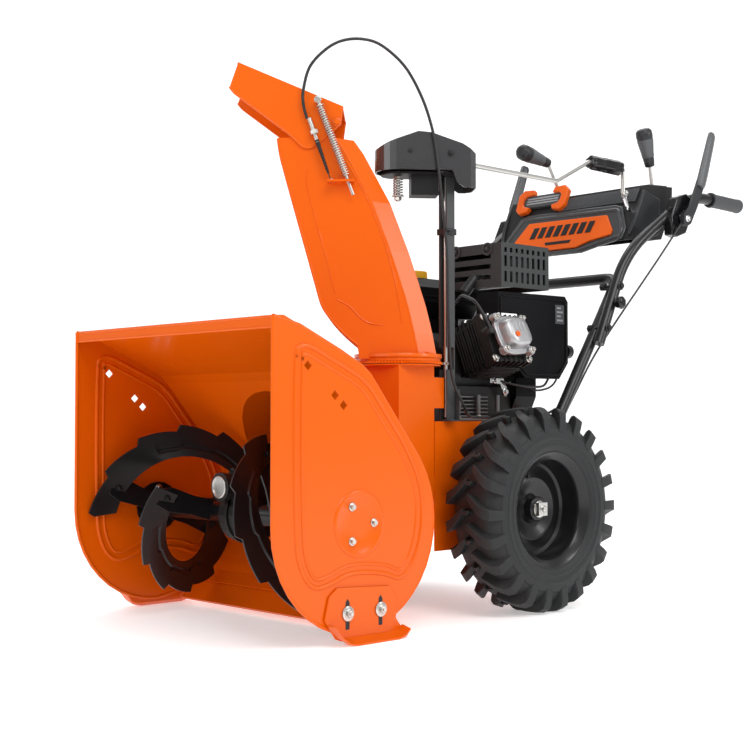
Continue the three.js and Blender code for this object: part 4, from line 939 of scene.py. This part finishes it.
face_turn = Matrix(((1, 0, 0, 0), (0, RUN, -RISE, FACE_Y), (0, RISE, RUN, FACE_Z), (0, 0, 0, 1)))
frame_plate = bmesh.new()
prism(frame_plate, [(-152, 94), (-182, 34), (-184, 4), (-132, -10), (-84, -22), (66, -22), (112, -10),
                    (176, 4), (180, 30), (156, 88), (134, 96), (-132, 100)], "z", -2, 5, face_turn)
frame_grey = surface("console frame plastic", (0.045, 0.047, 0.050), 0.24, coat=0.2, grain=500, bump=0.08,
                     drift=0.15)
piece("console_frame", frame_plate, frame_grey, "chassis", bevel=2.5, segments=3)
rim_bars = bmesh.new()
tube(rim_bars, [on_face(x, h, 4) for x, h in (
    (-142, 86), (-174, 32), (-174, 8), (-128, -4), (-80, -16), (62, -16), (108, -4), (168, 10), (171, 28),
    (146, 82), (-142, 86))], 4.6, bend=10, sides=12)
piece("console_frame_ridge", rim_bars, frame_grey, "chassis", bevel=0, angle=60)
plate = bmesh.new()
prism(plate, [(-116, 72), (-148, 22), (-147, 12), (-112, 4), (-68, -10), (50, -10), (88, 4), (144, 14),
              (146, 26), (120, 68)], "z", 4, 10, face_turn)
piece("console_orange_plate", plate, orange_plastic, "chassis", bevel=1.6, segments=3)
bars = bmesh.new()
for k in range(8):
    x = -100 + k * 24
    prism(bars, [(x, 26), (x + 16, 26), (x + 23, 56), (x + 7, 56)], "z", 9.6, 11.4, face_turn)
prism(bars, [(-44, 4), (28, 4), (32, 12), (-48, 12)], "z", 9.6, 11.0, face_turn)
piece("console_plate_bars", bars, textured, "chassis", bevel=0.6)
strip = bmesh.new()
prism(strip, [(-40, 100), (186, 100), (190, 134), (-32, 134)], "z", -1, 4, face_turn)
for k in range(26):
    x = -30 + k * 8.2
    prism(strip, [(x, 104), (x + 3, 104), (x + 8, 130), (x + 5, 130)], "z", 3.5, 5.2, face_turn)
piece("console_grey_strip", strip, grip_grey, "chassis", bevel=0.8)
ends = bmesh.new()
for side in (1, -1):
    points = [(side * 196, 12, -46), (side * 196, 12, 4), (side * 204, 60, 6), (side * 206, 128, 2),
              (side * 206, 136, -60), (side * 205, 60, -90)]
    verts = [ends.verts.new(on_face(*p)) for p in points]
    inner = [ends.verts.new(on_face(p[0] - side * 9, p[1], p[2])) for p in points]
    skin(ends, [verts, inner])
piece("console_end_blocks", ends, moulded, "chassis", bevel=2.5, segments=3)
hooks = bmesh.new()
for flip, x in ((1, -170), (-1, -14)):
    hook = [(x + flip * a, h + 14) for a, h in (
        (2, 98), (14, 86), (38, 90), (44, 102), (26, 106), (20, 114), (20, 128), (28, 136), (50, 138),
        (46, 152), (14, 154), (0, 140))]
    prism(hooks, hook, "z", 2, 16, face_turn)
piece("console_hooks", hooks, orange_plastic, "chassis", bevel=2.6, segments=3)
rail = bmesh.new()
prism(rail, [(-156, 118), (-30, 118), (-22, 124), (-22, 146), (-30, 152), (-152, 152), (-160, 144),
             (-162, 124)], "z", 0, 11,
      face_turn)
piece("console_hook_bar", rail, grip_grey, "chassis", bevel=2.5, segments=3)
lines = bmesh.new()
for k in range(3):
    prism(lines, [(-140, 126 + k * 7), (-44, 126 + k * 7), (-42, 130 + k * 7), (-142, 130 + k * 7)], "z",
          10.6, 11.8, face_turn)
piece("console_hook_lines", lines, cast_alloy, "chassis", bevel=0.2)
gates = bmesh.new()
for x, y0, y1 in ((-62, 496, 596), (175, 528, 598)):
    block(gates, (x - 15, x + 15), (y0 - 4, y1 - 2), (0, 5),
          Matrix(((1, 0, 0, 0), (0, 1, 0, 0), (0, 0.064, 1, 889), (0, 0, 0, 1))))
piece("console_lever_gates", gates, grip_grey, "chassis", bevel=1.2)

# ------------------------------------------------------------------ console levers
# Speed lever and cap lever: bright bent stems that turn in the console and stand out of slots in its top.
# Each ends in a long two-tone plastic knob pushed over the stem.
for name, x, pivot, neck, knob in (("speed_lever", -62, (535, 860), (512, 930), ((461, 1004), (358, 1020))),
                                   ("deflector_lever", 175, (562, 860), (556, 930),
                                    ((548, 977), (522, 1060)))):
    stem = bmesh.new()
    tube(stem, [(x, *pivot), (x, *neck), (x, *knob[0])], 4, bend=20, sides=14)
    lathe(stem, [(-7, 8), (7, 8)], (x, *pivot), (1, 0, 0), 20)
    rod = piece(f"{name}_stem", stem, zinc, name, bevel=0.3)
    start, end = Vector((x, *knob[0])), Vector((x, *knob[1]))
    long = (end - start).length
    ball = bmesh.new()
    lathe(ball, [(-4, 8), (-2, 11), (long * 0.12, 12.5), (long * 0.34, 13.5), (long * 0.6, 17),
                 (long * 0.8, 19.5), (long * 0.92, 18.6), (long * 0.98, 14), (long * 1.0, 7)], start,
                 end - start, 30)
    top = piece(f"{name}_knob", ball, moulded, name, bevel=0.8, segments=2, angle=50)
    band = bmesh.new()
    lathe(band, [(long * 0.2, 12.6), (long * 0.24, 14.2), (long * 0.34, 14.8), (long * 0.6, 18.2),
                 (long * 0.68, 19.2), (long * 0.7, 18)], start, end - start, 30)
    piece(f"{name}_knob_band", band, knob_grey, name, bevel=0.3)
    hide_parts(name)

# ------------------------------------------------------------------ engine block
# Dark painted castings: crankcase, sump and leaning cylinder with cooling fins.
# Four bolts hold the cylinder's head, and three hold the sump down on the frame.
CRANK_Z = 483                  # the crankshaft's axis
dress("engine_block", dark_alloy, 4.0, 3)
lean = Matrix.Translation((0, 45, CRANK_Z)) @ Matrix.Rotation(-math.radians(22), 4, "Y")
fins = bmesh.new()
for k in range(9):
    cut = [(-60, -42), (-44, -58), (44, -58), (60, -42), (60, 42), (44, 58), (-44, 58), (-60, 42)]
    prism(fins, cut, "x", 94 + k * 7.2, 97 + k * 7.2, lean)
for k in range(8):
    block(fins, (156, 180), (-57 + k * 15.3, -54 + k * 15.3), (-56, 56), lean)
piece("cylinder_fins", fins, dark_alloy, "chassis", bevel=0.5)
low_fins = bmesh.new()
block(low_fins, (70, 116), (-60, 100), (378, 384))
for k in range(6):
    block(low_fins, (92, 112), (-50, 48), (386 + k * 8, 389 + k * 8))
for k in range(3):
    tube(low_fins, [(118, -50 + k * 60, 392), (118, -50 + k * 60, 432)], 5, sides=14)
sump_alloy = surface("sump casting", (0.16, 0.16, 0.165), 0.45, metal=0.7, grain=300, bump=0.3, drift=0.14)
piece("sump_ribs", low_fins, sump_alloy, "chassis", bevel=0.8)
studs = bmesh.new()
out = lean.to_3x3() @ Vector((1, 0, 0))
for y in (-52, 52):
    for z in (-46, 46):
        bolt(studs, lean @ Vector((178, y, z)), out, 6, 8.5)
for y in (-45, 20, 85):
    bolt(studs, (108, y, 384.6), (0, 0, 1), 6, 9)
piece("engine_bolts", studs, zinc, "chassis", bevel=0.3)

# ------------------------------------------------------------------ valve cover
# Bright cast cover in two levels with rounded corners, low ribs and a small orange plug.
# Four corner bolts hold it on the cylinder's head; the spark plug's lead enters beside it.
crown = bmesh.new()
rings = []
for along, share in ((189.5, 1.0), (195.5, 1.0), (197, 0.97), (197.4, 0.80), (213, 0.74), (218, 0.69),
                     (221, 0.60), (221.6, 0.4)):
    ring = []
    for k in range(48):
        a = math.tau * k / 48
        reach = (abs(math.cos(a)) ** 3.4 + abs(math.sin(a)) ** 3.4) ** (-1 / 3.4)
        ring.append(crown.verts.new(lean @ Vector((along, 47 * share * reach * math.cos(a + 0.09),
                                                   43 * share * reach * math.sin(a + 0.09)))))
    rings.append(ring)
skin(crown, rings)
for k in range(3):
    block(crown, (221, 223), (-12 + k * 11, -7 + k * 11), (-2, 18), lean)
for y in (-40, 40):
    for z in (-36, 36):
        lathe(crown, [(190, 10), (203, 9), (204, 8)], lean @ Vector((0, y, z)), out, 20)
cover = piece("valve_cover_crown", crown, cast_alloy, "chassis", bevel=1.0)
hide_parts("valve_cover")
screws = bmesh.new()
for y in (-40, 40):
    for z in (-36, 36):
        bolt(screws, lean @ Vector((204.5, y, z)), out, 5, 7)
piece("valve_cover_bolts", screws, zinc, "chassis", bevel=0.2)
spot = bmesh.new()
lathe(spot, [(219, 6), (224, 6), (225, 5)], lean @ Vector((0, -14, -10)), out, 20)
piece("valve_cover_plug", spot, orange_plastic, "chassis", bevel=0.3)
plug_lead = bmesh.new()
tube(plug_lead, [lean @ Vector((186, -66, 8)), lean @ Vector((206, -74, 10)), (168, -52, 622),
                 (110, -30, 640), (40, 10, 618)], 3.6, bend=18, sides=12)
lathe(plug_lead, [(0, 9), (20, 9), (24, 6)], lean @ Vector((180, -66, 8)), out, 18)
piece("spark_plug_lead", plug_lead, rubber, "chassis", bevel=0, angle=60)

# ------------------------------------------------------------------ engine covers
# Black mouldings: the heater cover with a plain label, the fan housing, the recoil cover with its vanes and
# grip, and the belt cover. They are screwed on; wires and a bright bracket show below the heater cover.
satin_black = surface("satin black plastic", (0.006, 0.006, 0.007), 0.34, grain=700, bump=0.08, drift=0.2,
                      specular=0.10)
dress("heater_cover", satin_black, 3.0, 3)
dress("blower_housing", satin_black, 3.0, 3)
dress("recoil_cover", satin_black, 1.2, 2)
dress("recoil_handle", textured, 2.5, 3)
dress("choke_knob", textured, 1.2, 3)
dress("belt_cover", textured, 3.0, 3)
dress("crankshaft", zinc, 0.4)
dress("auger_belt", rubber, 0.4)
label = bmesh.new()
block(label, (145, 145.7), (232, 262), (590, 632))
piece("heater_cover_label", label, grip_grey, "chassis", bevel=0.2)
marks = bmesh.new()
for k in range(4):
    block(marks, (145.6, 146.0), (237, 257 - (k % 2) * 7), (596 + k * 9, 600 + k * 9))
piece("heater_cover_label_bars", marks, cast_alloy, "chassis", bevel=0)
cover_trim = bmesh.new()
tube(cover_trim, [(146, y, z) for y, z in ((50, 640), (49, 548), (132, 478), (242, 478), (268, 508),
                                           (268, 632), (260, 642), (56, 642))], 1.8, bend=10, sides=8)
piece("heater_cover_edge", cover_trim, satin_black, "chassis", bevel=0.3)
vents = bmesh.new()
for k in range(12):
    a = math.tau * k / 12
    turn = Matrix.Translation((0, 243, CRANK_Z)) @ Matrix.Rotation(a, 4, "Y")
    block(vents, (24, 56), (-0.5, 1.6), (-3, 3), turn)
lathe(vents, [(0, 19), (2, 19), (3, 17), (3, 6), (1, 4)], (0, 242, CRANK_Z), (0, 1, 0), 40)
for k in range(4):
    a = math.tau * (k + 0.5) / 4
    bolt(vents, (103 * math.cos(a), 205.8, CRANK_Z + 103 * math.sin(a)), (0, 1, 0), 4.5, 7)
piece("recoil_vanes", vents, textured, "chassis", bevel=0.4)
wire = bmesh.new()
tube(wire, [(96, 150, 470), (118, 190, 440), (126, 250, 452), (120, 282, 500), (112, 270, 520)], 2.2,
     bend=26, sides=8)
tube(wire, [(100, 60, 470), (132, 120, 452), (138, 200, 450), (118, 240, 470)], 2.6, bend=26, sides=8)
piece("engine_wires", wire, rubber, "chassis", bevel=0, angle=80)
tie = bmesh.new()
prism(tie, [(52, 470), (92, 470), (104, 452), (104, 430), (96, 430), (84, 456), (52, 458)], "x", 112, 115)
for y, z in ((66, 464), (98, 440)):
    bolt(tie, (115.6, y, z), (1, 0, 0), 5, 7.5)
piece("engine_bracket", tie, chrome, "chassis", bevel=0.3)

# ------------------------------------------------------------------ muffler and its guard
# Guard of dark grey sheet with punched rows of slots over a black can.
# Two bolts in round pockets fix it to the engine, and small rivets close its top.
guard_paint = surface("heat guard paint", (0.040, 0.042, 0.043), 0.40, metal=0.2, grain=500, bump=0.15,
                      drift=0.2)
dress("muffler_guard", guard_paint, 1.6, 2)
can = bmesh.new()
lathe(can, [(0, 20), (0, 36), (6, 40), (124, 40), (130, 36), (130, 20)], (8, 126, 706), (1, 0, 0), 36)
tube(can, [(70, 90, 706), (70, 60, 690), (60, 30, 650)], 12, bend=16, sides=16)
piece("muffler_can", can, black_bolt, "chassis", bevel=1.0)
guard_trim = bmesh.new()
for x in (20, 112):
    lathe(guard_trim, [(-1, 14), (2, 14), (2.6, 12), (2.6, 9), (-1, 9)], (x, 47.6, 742), (0, -1, 0), 28)
    bolt(guard_trim, (x, 47.8, 742), (0, -1, 0), 5, 7)
for k in range(9):
    lathe(guard_trim, [(0, 3.4), (1.0, 4.6), (1.6, 4.2), (1.6, 3.2)], (4 + k * 15, 62, 753.6), (0, 0, 1), 14)
piece("guard_bolts", guard_trim, guard_paint, "chassis", bevel=0.3)

# ------------------------------------------------------------------ fuel tank
# Black moulded tank with a seam round its middle, on two feet.
# The yellow cap has grip ribs and a raised crown, and screws on.
dress("fuel_tank", satin_black, 6.0, 4)
yellow = surface("yellow plastic", (0.82, 0.47, 0.015), 0.42, grain=800, bump=0.18, drift=0.08, dust=0.04)
dress("fuel_cap", yellow, 1.8, 3)
ribs = bmesh.new()
for k in range(20):
    a = math.tau * k / 20
    tube(ribs, [(-82 + 27.2 * math.cos(a), 22 + 27.2 * math.sin(a), z) for z in (692, 704.5)], 1.6, sides=8)
lathe(ribs, [(0, 17), (2.4, 15), (2.8, 10), (2.8, 1)], (-82, 22, 706), (0, 0, 1), 36)
piece("fuel_cap_ribs", ribs, yellow, "fuel_cap", bevel=0.2)
seam = bmesh.new()
tube(seam, [(x, y, 648) for x, y in ((-185, -35), (-25, -35), (-25, 170), (-185, 170), (-185, -35))], 2.6,
     bend=3, sides=8)
block(seam, (-150, -120), (-20, 140), (560, 607))
block(seam, (-90, -60), (-20, 140), (560, 607))
piece("fuel_tank_seam", seam, satin_black, "chassis", bevel=0.5)

# ------------------------------------------------------------------ clean-out tool
# Black plastic stick for clearing a blocked chute.
# It lies on top of the housing behind its upper edge.
stick = bmesh.new()
tube(stick, [(-150, -540, 512), (80, -530, 507)], 9, sides=16)
piece("clean_out_tool", stick, textured, "chassis", bevel=0.5)
